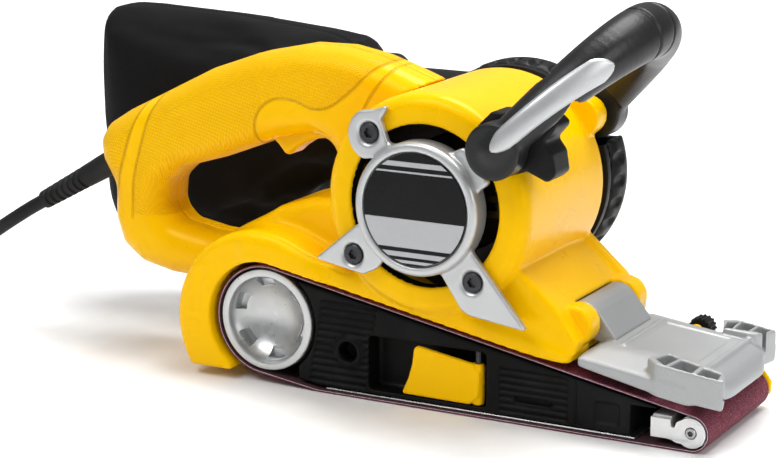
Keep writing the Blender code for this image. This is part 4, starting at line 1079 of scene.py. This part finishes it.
def build_hood(look):
    hood = Field((22, -44, 19), (107, 44, 58), 0.62)
    hood.add(hood.wedge(both_sides([
        (47.0, 27.0, 39.6), (52.0, 27.0, 39.6), (93.0, 24.0, 35.0), (40.3, SIDE_Y, 32.0),
        (40.3, SIDE_Y, 36.8), (91.0, SIDE_Y, 29.5), (92.5, SIDE_Y, 21.0), (101.5, 27.0, 29.5),
        (104.5, 20.0, 24.0), (104.0, 20.0, 20.8), (100.0, 32.0, 20.8)]), 1.6))
    panel = [(57.0, 38.35), (88.0, 34.85), (88.0, 50), (57.0, 50)]
    hood.cut(hood.wedge(along_y(panel, -21.0, 21.0), 0.8), 0.7)
    ridge = [(53.5, 39.9), (55.3, 39.8), (55.9, 38.5), (52.9, 38.9)]
    hood.add(hood.wedge(along_y(ridge, -24.0, 24.0), 0.4), 0.8)
    lip = [(92.2, 34.2), (93.6, 35.4), (95.2, 34.8), (95.0, 33.0)]
    hood.add(hood.wedge(along_y(lip, -27.0, 27.0), 0.4), 1.0)
    for side, rear, front in ((-1, 71.0, 108.0), (1, 78.0, 102.5)):
        ear = [(rear, 37), (rear + 5, 23.5), (front - 5, 28), (front, 40.6), (rear + 6, 42.2)]
        corners = [(x, side * y, z) for x, y in ear for z in (24.5, 39.4 - 0.13 * (x - rear))]
        corners += [(rear + 9, side * 42.2, 23.6), (front - 1, side * 41.5, 21.2),
                    (front - 4, side * 30, 21.0)]
        hood.add(hood.wedge(corners, 1.0), 1.6)
    hood.add(hood.rod(*HINGE, 8.5, HOOD_NEAR, HOOD_FAR, 0.5), 0.5)
    apron = [(40.2, 51.8), (49.6, 40.0), (46.5, 36.5), (38.5, 38.5), (33.4, 42.4)]
    hood.add(hood.wedge(along_y(apron, HOOD_NEAR, HOOD_FAR), 0.6), 0.6)
    hood.cut(hood.wedge(both_sides([
        (49.0, 25.0, 36.6), (92.0, 22.0, 32.0), (30.0, 39.0, 20.0), (30.0, 39.0, 34.4),
        (90.0, 39.0, 26.5), (90.0, 39.0, 10.0), (101.5, 22.0, 21.5), (101.5, 22.0, 10.0)])))
    hood.cut(hood.plate(belt_loop(BELT_THICKNESS + 1.8), -38.6, 38.6))
    side = [(20, 60), (20, 38.0), (40, 38.0), (44.5, 39.2), (51, 39.9), (51, 60)]
    for low, high in ((-60, HOOD_NEAR), (HOOD_FAR, 60)):
        hood.cut(hood.rod(*HINGE, LOBE_R + 0.5, low, high), 0.4)
        hood.cut(hood.box((10, low, 0), (40.0, high, 60)))
        hood.cut(hood.plate(side, low, high), 0.4)
    hood.cut(hood.plate(hull([(*KNOB, 4.9), (52, 10, 8)]), 34.0, 60))
    hood.cut(hood.rod(*HINGE, 2.8, -60, 60))
    for side, start, stretch in ((-1, 74.4, 1.03), (1, 80.8, 0.66)):     # longer on the near ear
        for pocket in POCKETS:
            corners = [(start + stretch * (x - POCKETS[0][0][0]), side * y, z)
                       for x, y in pocket for z in (27.5, 50)]
            hood.cut(hood.wedge(corners, 0.4), 0.5)
    done(hood.skin("hood_casting", look), "front_hood", "silver_paint", "front_hood")


def build_knob(look):
    """Tracking knob: a knurled grip with a dished face and a pointer groove."""
    outline = lobed(*KNOB, 5.55, 0.42, 16, 96)
    knob = Field((KNOB_X - 7, 38.6, KNOB_Z - 7), (KNOB_X + 7, 53, KNOB_Z + 7), 0.28)
    knob.add(knob.plate(outline, 43.4, 51.6, 0.6))
    knob.cut(knob.rod(*KNOB, 3.7, 50.7, 60), 0.5)
    knob.cut(knob.box((KNOB_X - 0.5, 50.9, KNOB_Z + 1.2), (KNOB_X + 0.5, 60, KNOB_Z + 9)), 0.2)
    knob.add(knob.rod(*KNOB, 2.0, 39.5, 44.5), 0.4)
    done(knob.skin("tracking_knob_grip", look), "tracking_knob", "soft_grip", "tracking_knob")


# ---- wheel, belt, belt frame, lever, bracket

def build_wheel(paint_look, rubber, metal):
    near, bowl = -37.0, 11.0
    profile = [(6.3, 37.0), (22.4, 37.0), (22.4, near + 3.2), (23.9, near + 3.2), (24.3, near + 2.8),
               (24.3, near + 0.5), (23.9, near + 0.1), (23.0, near), (21.4, near), (20.8, near + 0.2),
               (20.3, near + 1.2)]
    profile += [(20.3 * math.cos(a), near + 1.2 + bowl * math.sin(a) ** 1.25)
                for a in (math.pi / 2 * k / 18 for k in range(1, 18))]
    profile += [(0, near + 1.2 + bowl), (0, near + 5.2 + bowl), (6.3, near + 5.2 + bowl)]
    wheel = lathe("drive_wheel", profile, on_axis(WHEEL), paint_look, steps=112, sharp=28)
    slots = []
    for k in range(6):
        start = 60 * k + 26
        ring = arc(*WHEEL, 19.2, start, start + 28, 12) + arc(*WHEEL, 15.4, start + 28, start, 12)
        slots.append(prism("slot", [fillet(ring, 0.8, 3)], near - 2, near + 9.0))
    wheel = bevelled(carve(wheel, slots), 0.28, 2, 50)
    done(wheel, "drive_roller", "silver_paint", "drive_roller")
    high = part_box("drive_shaft")[1][1] / MM
    shaft = [(0, near + 5.6 + bowl), (5.4, near + 5.6 + bowl), (5.9, near + 6.1 + bowl), (5.9, high - 0.6),
             (5.4, high), (0, high)]
    done(lathe("wheel_shaft", shaft, on_axis(WHEEL), metal, steps=48), "drive_roller", "steel", "drive_shaft")
    lagging = [(22.7, near + 3.5), (24.3, near + 3.5), (24.8, near + 4.0)]
    for k in range(22):
        y = near + 5.0 + k * 3.1
        lagging += [(24.8, y), (24.3, y + 0.3), (24.3, y + 0.8), (24.8, y + 1.1)]
    lagging += [(24.8, 36.0), (24.3, 36.5), (22.7, 36.5)]
    done(lathe("wheel_lagging", lagging, on_axis(WHEEL), rubber, steps=96), "drive_roller",
         "black_rubber", "roller_lagging")


def build_belt():
    """The abrasive belt: grit outside, then a thin pale line at the edge as a painted highlight, then dark
    backing.
    """
    loops = [belt_loop(BELT_THICKNESS), belt_loop(0.62), belt_loop(0.38), belt_loop(0.0)]
    backing = speckled("belt_backing", (0.035, 0.012, 0.016), (0.06, 0.02, 0.026), 900, 0.85)
    # The pale edge layer is a painted highlight along the belt's edge.
    thread = speckled("belt_edge_highlight", (0.45, 0.34, 0.42), (0.62, 0.50, 0.58), 700, 0.8)
    layers = [("abrasive_belt", abrasive()), ("belt_edge_line", thread), ("belt_backing_layer", backing)]
    for (name, look), outer, inner in zip(layers, loops, loops[1:]):
        half = BELT_HALF + (0.12 if look is thread else 0)
        layer = done(prism(name, [outer, inner], -half, half, look), "root", "abrasive")
        if name == "abrasive_belt":
            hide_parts("sanding_belt")


LEVER_PIN = (-11.0, -33.0)


def build_belt_frame(look, metal):
    near, far = -36.3, 38.2
    body = Field((-103, -38, 0), (86, 40, 56), 0.8)
    body.add(body.plate(belt_loop(-1.4), near, far, 0.8))
    body.cut(body.rod(*WHEEL, WHEEL_R + 1.0, near - 5, far + 5), 0.5)
    body.cut(body.box((63.5, -50, -5), (120, 50, 16.6)), 0.5)
    body.cut(body.box((75.5, -50, -5), (120, 50, 56)), 0.5)
    body.cut(body.box((-66.0, near - 5, 4.6), (-6.0, -25.5, 30.0), 2.0), 0.8)
    body.cut(body.box((-66.0, -19.5, 5.2), (58.5, 32.0, 60.0)))
    body.cut(body.box((-84.0, -33.3, 0), (60.3, 33.3, 3.9)))
    hole = (-76.2, 21.1)
    body.cut(body.rod(*hole, 4.7, near - 5, near + 8), 0.8)
    body.add(body.rod(*hole, 7.0, near - 1.0, near + 3, 0.5), 0.5)
    body.cut(body.rod(*hole, 4.7, near - 5, near + 8), 0.8)
    for k in range(12):
        z = 4.6 + 3.4 * k
        reach = -99.0 + 0.6 * k
        rib = body.box((reach + 2, near - 2, z), (-66.8 + 0.5 * k, near + 1.3, z + 1.7), 0.4)
        body.cut(np.maximum(rib, -body.rod(*hole, 8.2, -60, 0)), 0.5)
    for k in range(7):
        z = 4.2 + 3.1 * k
        body.cut(body.box((0.5, near - 2, z), (34.0, near + 1.2, z + 1.6), 0.4), 0.4)
    body.cut(body.box((8.0, near - 2, 9.4), (26.0, near + 3.0, 12.4), 0.8), 0.5)
    body.cut(body.box((37.0, near - 2, -5), (38.2, near + 0.9, 40)), 0.4)
    body.cut(body.box((46.5, near - 2, 6.0), (58.5, near + 1.6, 16), 1.5), 0.5)
    body.cut(body.capsule((*LEVER_PIN, 20), (*LEVER_PIN, 32.2), 1.8, 1.8))
    body.cut(body.capsule((50, 0, 11.6), (70, 0, 11.6), 2.9, 2.9))
    done(body.skin("belt_frame_moulding", look), "root", "black_metal", "belt_frame")
    sole = [(-88.0, 1.55), (66.0, 1.55), (66.0, 2.3), (-88.0, 2.3)]
    done(prism("platen_shoe", [sole], -36.5, 36.5, metal, 0.2), "root", "steel", "platen")


def build_lever(look):
    lever = Field((-50, -38.5, 3), (-6, -28.5, 31), 0.42)
    outline = [(-47.6, 5.2), (-14.0, 5.0), (-9.4, 8.8), (-9.0, 20.0), (-12.0, 24.0), (-41.0, 28.6),
               (-42.4, 27.0), (-43.2, 20.0), (-45.2, 13.0), (-48.2, 6.4)]
    lever.add(lever.plate(fillet(outline, 3.0), -36.9, -33.3, 1.4))
    lever.add(lever.capsule((*LEVER_PIN, 6.5), (*LEVER_PIN, 22.0), 3.0, 3.0), 0.6)
    lever.cut(lever.box((-60, -60, -5), (0, 0, 5.0)))
    lever.cut(lever.box((-60, -60, 28.7), (0, 0, 60)))
    lever.cut(lever.capsule((*LEVER_PIN, 0), (*LEVER_PIN, 40), 1.8, 1.8))
    done(lever.skin("lever_paddle", look), "tension_lever", "yellow_plastic", "tension_lever")


def build_bracket(metal):
    """Yoke of the front roller: two cheeks on a cross bar, with a stem through the frame."""
    yoke = block("yoke_bar", (73.5, -35.0, 3.8), (82.5, 35.0, 14.2), metal, 0.6)
    pieces = []
    for low, high in ((-37.3, -35.1), (35.1, 37.3)):
        outline = [(73.6, 5.6), (83.0, 4.4), (85.5, 3.4)] + arc(*NOSE, 6.7, 232, 485, 26)
        outline += [(86.4, 13.0), (85.3, 12.4), (84.6, 9.9), (83.1, 9.8), (82.4, 13.0), (73.6, 13.4)]
        plate = prism("cheek", [fillet(outline, 0.5, 3), circle(*NOSE, 2.7, 32)], low, high)
        pieces.append(bevelled(plate, 0.3, 2, 50))
    for name, radius, low, high, steps in (("stem", 2.5, 12.0, 75.0, 20), ("collar", 5.2, 44.5, 47.5, 32)):
        bar = [(0, low), (radius, low), (radius, high), (0, high)]
        pieces.append(lathe(name, bar, (0, 0, 11.6), metal, "X", steps))
    for low, high in ((-37.2, -34.0), (34.0, 37.2)):
        pieces.append(block("bar_end", (73.6, low, 4.6), (82.6, high, 13.3)))
    yoke = carve(yoke, pieces, "UNION")
    done(yoke, "roller_yoke", "steel", "roller_yoke")
    hexagon = circle(*NOSE, 1.35, 6)
    axle = lathe("nose_axle", [(0, -37.9), (2.1, -37.9), (2.4, -37.5), (2.4, 37.4), (0, 37.4)], on_axis(NOSE),
                 turned_metal("axle_steel", (0.42, 0.42, 0.43), 0.35), steps=32)
    axle = carve(axle, [prism("hex", [hexagon], -40, -35.4)])
    done(axle, "roller_yoke", "steel", "front_axle")


# ---- front handle

BAIL_TILT, BAIL_REACH = math.radians(46.3), 65.0
BAIL_NEAR, BAIL_FAR = -55.5, 51.0
BAIL_ARM_R, BAIL_GRIP_R = 8.5, 12.5


def bail_place(turn):
    """Point of the bail's centre line, and its radius; turn runs from -1 (near pivot) to 1."""
    middle, half = (BAIL_NEAR + BAIL_FAR) / 2, (BAIL_FAR - BAIL_NEAR) / 2
    reach = BAIL_REACH * math.cos(math.pi / 2 * turn)
    side = math.copysign(abs(math.sin(math.pi / 2 * turn)) ** 1.15, turn)
    place = Vector((PIVOT_X + reach * math.cos(BAIL_TILT), middle + half * side,
                    PIVOT_Z + reach * math.sin(BAIL_TILT)))
    return place, BAIL_ARM_R + (BAIL_GRIP_R - BAIL_ARM_R) * math.cos(math.pi / 2 * turn) ** 2


def build_bail(look, trim):
    bail = Field((-8, -65, 112), (70, 61, 190), 0.7)
    count = 56
    stops = [bail_place(-1 + 2 * i / count) for i in range(count + 1)]
    bar = np.full(bail.d.shape, 1e3, np.float32)
    for (a, r_a), (b, r_b) in zip(stops, stops[1:]):
        bar = np.minimum(bar, bail.capsule(a, b, r_a, r_b))
    bail.add(bar)
    for low, high in ((BAIL_NEAR - 7.0, -50.6), (COVER_NEAR - 0.3, BAIL_FAR + 7.5)):
        bail.add(bail.rod(*PIVOT, 12.5, low, high, 1.2), 2.0)
    bail.cut(bail.rod(*PIVOT, 40, -50.6, -20))
    bail.cut(bail.rod(*PIVOT, 14, 30, COVER_NEAR - 0.3))
    bail.cut(bail.rod(*PIVOT, 4.4, BAIL_NEAR - 3.0, 80))
    bail.cut(bail.rod(*PIVOT, 7.7, BAIL_NEAR - 6.0, BAIL_NEAR - 2.0))
    bail.cut(bail.rod(*PIVOT, 7.7, BAIL_FAR + 2.5, 80), 0.4)
    for turn in (-0.13, 0.02):
        centre, radius = bail_place(turn)
        nx, ny, nz = (bail_place(turn + 0.01)[0] - centre).normalized()
        px, py, pz = bail.x - centre.x, bail.y - centre.y, bail.z - centre.z
        ring = np.maximum(np.abs(px * nx + py * ny + pz * nz) - 0.7, -0.8 - bar)
        bail.cut(np.maximum(ring, np.sqrt(px ** 2 + py ** 2 + pz ** 2) - 1.5 * radius), 0.5)
    done(bail.skin("bail_grip", look), "front_handle", "soft_grip", "front_handle")
    done(build_insert(trim), "front_handle", "silver_paint")


def build_insert(look):
    """Silver trim let into the outer face of the near arm."""
    across = Vector((-math.sin(BAIL_TILT), 0, math.cos(BAIL_TILT)))
    places = []
    rows, columns = 46, 18
    for i in range(rows + 1):
        turn = -0.985 + 0.565 * i / rows
        here, r = bail_place(turn)
        ahead, _ = bail_place(turn + 0.01)
        tangent = (ahead - here).normalized()
        outward = across.cross(tangent).normalized()
        if outward.y > 0:
            outward = -outward
        half = max(0.92 * min(min(i, rows - i) / 5, 1) ** 0.5, 0.05)
        for k in range(columns + 1):
            share = -1 + 2 * k / columns
            angle = share * half * 0.58 - 0.6 * (i / rows) ** 1.5
            lift = 0.75 * (1 - abs(share) ** 8)
            direction = outward * math.cos(angle) + across * math.sin(angle)
            places.append((here + direction * (r + lift - 0.15)) * MM)
    sheet = net("bail_trim_sheet", places, columns + 1)
    thick = sheet.modifiers.new("thick", "SOLIDIFY")
    thick.thickness = 1.2 * MM
    thick.offset = 0
    return settle(sheet, "bail_trim", look, 40)


def build_handle_mounts(look, dark):
    bracket = Field((-8, -52, 109), (40, -33, 146), 0.6)
    outline = [(-5, 135), (0, 113), (8, 113.5), (19, 117.5), (28.5, 113.5), (32.5, 117), (31.0, 126),
               (27, 131), (33, 138), (28, 142), (16, 142), (2, 142)]
    bracket.add(bracket.plate(fillet(outline, 2.5), -50.0, -34.0, 1.0))
    bracket.cut(bracket.rod(*MOTOR, BARREL_R + 0.3, BARREL_NEAR - 0.3, 0), 0.3)
    bracket.cut(bracket.rod(*MOTOR, 47.0, -60, BARREL_NEAR + 0.5), 0.3)
    bracket.cut(bracket.rod(*PIVOT, 9.3, BARREL_NEAR - 0.3, -20))
    bracket.cut(bracket.rod(*PIVOT, 4.3, -60, -20))
    done(bracket.skin("pivot_bracket", look), "root", "black_metal", "handle_bracket")
    for name, head, tip in (("near", BAIL_NEAR - 2.3, -39.0), ("far", BAIL_FAR + 2.8, 35.0)):
        out = -1 if head < 0 else 1
        profile = [(0, tip), (4.0, tip), (4.0, head), (7.2, head), (7.2, head + out * 2.6),
                   (6.6, head + out * 3.2), (0, head + out * 3.4)]
        bolt = lathe(f"pivot_bolt_{name}", profile, on_axis(PIVOT), dark, steps=56)
        low, high = sorted((head + out * 1.4, head + out * 6))
        socket = prism("hex", [circle(*PIVOT, 3.2, 6)], low, high)
        done(carve(bolt, [socket]), "root", "dark_screws", f"handle_bolt_{name}")


# ---- drive side

POSTS = [(MOTOR_X - 36, MOTOR_Z + 25), (MOTOR_X + 25, MOTOR_Z - 36), (-84.0, 57.5)]
DRIVE = [(*MOTOR, 50.0), (*WHEEL, 27.0)]


def build_drive_cover(look, dark):
    cover = Field((-152, 44, 0), (22, 70, 150), 0.9)
    cover.add(cover.plate(hull(DRIVE, 1.6), COVER_NEAR, COVER_FAR, 8.0))
    for k in range(21):
        a = math.radians(-38 + 12.0 * k)
        x, z = round_point(*MOTOR, 53.4, a)
        cover.cut(cover.capsule((x, 48.0, z), (x, 56.0, z), 3.6, 3.6), 0.3)
    cover.cut(cover.plate(hull(DRIVE, -1.6), 30, COVER_FAR - 3.0))
    cover.cut(cover.rod(*PIVOT, 14.6, 30, 80), 1.0)
    for k in range(6):
        a = math.radians(30 + 60 * k)
        for r in (17, 24, 31, 38):
            cover.cut(cover.rod(*round_point(*MOTOR, r, a + r * 0.01), 2.0, COVER_FAR - 1.2, 90), 0.6)
    cover.cut(cover.plate(hull([(*MOTOR, 9.0), (*WHEEL, 14.0)]), COVER_FAR - 0.7, 90), 0.8)
    for x, z in POSTS:
        cover.add(cover.rod(x, z, 4.6, COVER_NEAR, COVER_FAR - 1.0), 1.0)
        cover.cut(cover.rod(x, z, 1.9, 30, 90))
        cover.cut(cover.rod(x, z, 3.5, COVER_FAR - 1.5, 90), 0.4)
    done(cover.skin("belt_drive_cover", look), "root", "black_plastic", "drive_cover")
    holes = [circle(*MOTOR, 11.3), circle(*WHEEL, 9.3)] + [circle(x, z, 1.9, 24) for x, z in POSTS]
    base = prism("drive_base_plate", [hull(DRIVE)] + holes, BARREL_FAR + 0.3, COVER_NEAR - 0.3, look)
    notch = lathe("notch", [(0, 30), (16.0, 30), (16.0, 60), (0, 60)], on_axis(PIVOT))
    done(bevelled(carve(base, [notch]), 0.4, 2, 50), "root", "black_plastic", "gear_plate")
    for i, (x, z) in enumerate(POSTS, 1):
        screw = cross_screw(f"cover_pan_screw_{i}", x, z, 3.2, 44.0, COVER_FAR - 1.2, COVER_FAR + 0.4, dark)
        done(screw, "root", "dark_screws", f"cover_screw_{i}")


def cross_screw(name, x, z, head_r, tip, seat, top, look):
    """A pan-head screw along +Y with a cross recess."""
    profile = [(0, tip), (1.6, tip), (1.6, seat), (head_r, seat), (head_r, seat + (top - seat) * 0.5),
               (head_r * 0.85, top - 0.15), (head_r * 0.5, top), (0, top)]
    screw = lathe(name, profile, (x, 0, z), look, steps=40)
    depth = top - (top - seat) * 0.7
    arms = [block("arm", (x - head_r * 0.6, depth, z - 0.4), (x + head_r * 0.6, top + 1, z + 0.4)),
            block("arm_across", (x - 0.4, depth, z - head_r * 0.6), (x + 0.4, top + 1, z + head_r * 0.6))]
    return carve(screw, arms)


PORT_Y, PORT_Z = 62.5, 118.0


def build_port(look):
    port = Field((-120, 38, 94), (-62, 87, 143), 0.9)
    along = np.abs(port.x + 91.0) - 25.0
    ring = np.hypot(port.y - PORT_Y, port.z - PORT_Z)
    port.add(np.maximum(np.maximum(ring - 19.5, 16.5 - ring), along))
    port.cut(port.plate(hull(DRIVE, 2.4), 0, 120))
    done(port.skin("duct_tube", look), "root", "black_plastic", "dust_port")


def build_collar(look):
    """Ribbed clamping collar at the bag's neck."""
    profile = [(19.9, 0), (24.4, 0), (25.2, 0.6)]
    for k in range(3):
        x = 1.6 + k * 3.1
        profile += [(25.4, x), (25.4, x + 1.3), (24.6, x + 1.8), (24.6, x + 2.6)]
    profile += [(25.4, 10.6), (24.9, 11.0), (19.9, 11.0)]
    collar = lathe("neck_collar", profile, (-117.0, PORT_Y, PORT_Z), look, "X", 80)
    done(collar, "dust_bag", "black_plastic", "bag_collar")


# ---- dust bag

BAG = [(-117.4, 95), (-117.4, 141), (-130, 148.5), (-180, 152), (-240, 156.5), (-262, 158), (-268, 152),
       (-270, 130), (-271, 95), (-269, 62), (-263, 46), (-250, 38.5), (-228, 38), (-200, 44), (-165, 60),
       (-134, 80)]
BAG_NEAR, BAG_FAR = 44.0, 92.0
MOST_TRAVEL = 7 * MM                          # how far the cloth may move


def build_bag(look):
    pouch = Field((-292, 36, 32), (-114, 100, 162), 2.0)
    pouch.add(pouch.plate(fillet(BAG, 12), BAG_NEAR, BAG_FAR, 20.0))
    bag = pouch.skin("dust_bag_cloth", look)
    remesh = bag.modifiers.new("even", "REMESH")
    remesh.mode = "VOXEL"
    remesh.voxel_size = 4.6 * MM
    bag = settle(bag, sharp=180)
    inflate(bag)
    finer = bag.modifiers.new("finer", "SUBSURF")
    finer.levels = finer.render_levels = 1
    bag = settle(bag, sharp=180)
    done(bag, "dust_bag", "bag_fabric", "dust_bag")


def inflate(bag):
    """Lets the cloth puff and wrinkle, its neck held by the collar."""
    rest = vertices(bag.data)
    held = bag.vertex_groups.new(name="neck")
    held.add([i for i, place in enumerate(rest / MM) if place[0] > -124], 1.0, "REPLACE")
    cloth = bag.modifiers.new("cloth", "CLOTH")
    values = {"quality": 6, "mass": 0.25, "tension_stiffness": 15, "compression_stiffness": 6,
              "shear_stiffness": 5, "bending_stiffness": 0.05, "use_pressure": True,
              "uniform_pressure_force": 1.4, "shrink_min": -0.12, "vertex_group_mass": "neck"}
    for key, value in values.items():
        setattr(cloth.settings, key, value)
    cloth.settings.effector_weights.gravity = 0
    scene = bpy.context.scene
    for step in range(1, 21):
        scene.frame_set(step)
    bpy.context.view_layer.update()
    travel = vertices(bag.evaluated_get(bpy.context.evaluated_depsgraph_get()).data) - rest
    size = np.linalg.norm(travel, axis=1, keepdims=True)
    places = rest + travel * np.minimum(1, MOST_TRAVEL / np.maximum(size, 1e-9))
    bag.modifiers.remove(cloth)
    scene.frame_set(1)
    bag.data.vertices.foreach_set("co", places.astype(np.float32).ravel())
    bag.data.update()


# ---- what stays from the frame

def dress(look, *nodes):
    """Gives carried-over CAD nodes their procedural material."""
    for node in nodes:
        materials = frame["nodes"][node].data.materials
        materials.clear()
        materials.append(look)


def main():
    build_camera()
    build_stage()
    build_cord()
    look_yellow = yellow("yellow_abs")
    look_grip = yellow("yellow_handle", grip=True)
    cast = silver_paint("silver_paint", 0.60, 0.7, 0.39)
    hood_cast = silver_paint("hood_paint", 0.46, 0.5, 0.52)
    steel = turned_metal("bright_steel", (0.78, 0.78, 0.79), 0.28)
    dark = turned_metal("dark_screw_steel", (0.05, 0.05, 0.055), 0.38, 0.7)
    moulded = black_plastic("moulded_black", 0.006, 0.4, 900, 0.00006, gloss=0.16)
    paint_black = black_plastic("black_paint", 0.004, 0.45, 1500, 0.00008)
    soft = black_plastic("soft_black", 0.012, 0.5, 1300, 0.00006, 0.01)
    rubber = black_plastic("black_rubber", 0.012, 0.7, 1000, 0.0001)
    build_housing(look_yellow, moulded)
    build_handle(look_grip)
    build_controls(look_yellow, soft)
    build_hub(cast, dark)
    build_badge()
    build_hood(hood_cast)
    build_knob(soft)
    build_wheel(turned_metal("wheel_alloy", (0.56, 0.575, 0.58), 0.34, 0.9), rubber, steel)
    build_belt()
    build_belt_frame(paint_black, steel)
    build_lever(look_yellow)
    build_bracket(turned_metal("yoke_steel", (0.80, 0.80, 0.80), 0.4, 0.4))
    build_bail(black_plastic("grip_rubber", 0.010, 0.36, 1300, 0.00006, gloss=0.35), cast)
    build_handle_mounts(moulded, dark)
    build_drive_cover(moulded, dark)
    build_port(moulded)
    build_collar(moulded)
    build_bag(cloth_weave("bag_cloth", 0.006))
    for i, (x, z) in enumerate(HANDLE_SCREWS, 1):
        screw = cross_screw(f"handle_pan_screw_{i}", x, z, 3.3, -8.5, 13.8, 16.2, dark)
        done(screw, "root", "dark_screws", f"handle_screw_{i}")
    # The stator and armature are copper windings painted near black: painted shade inside the motor.
    dress(speckled("copper_in_painted_shade", (0.012, 0.006, 0.004), (0.03, 0.012, 0.006), 700, 0.5, 0.3),
          "stator", "armature")
    # The brush holders' brass is painted dark: painted shade inside the motor.
    dress(turned_metal("brass", (0.16, 0.11, 0.04), 0.4), "brush_holder_front", "brush_holder_rear")
    dress(speckled("cork_grain", (0.30, 0.18, 0.09), (0.5, 0.33, 0.18), 500, 0.9), "platen_pad")
    dress(black_plastic("belt_rubber", 0.018, 0.75, 1200, 0.0001), "timing_belt")
    dress(dark, "lever_pin", "hood_pin")
    dress(steel, "front_roller", "tension_spring", "motor_bearing_near", "motor_bearing_far",
          "roller_bearing", "motor_pulley", "driven_pulley")
    dress(moulded, "motor_fan", "switch_module")


main()
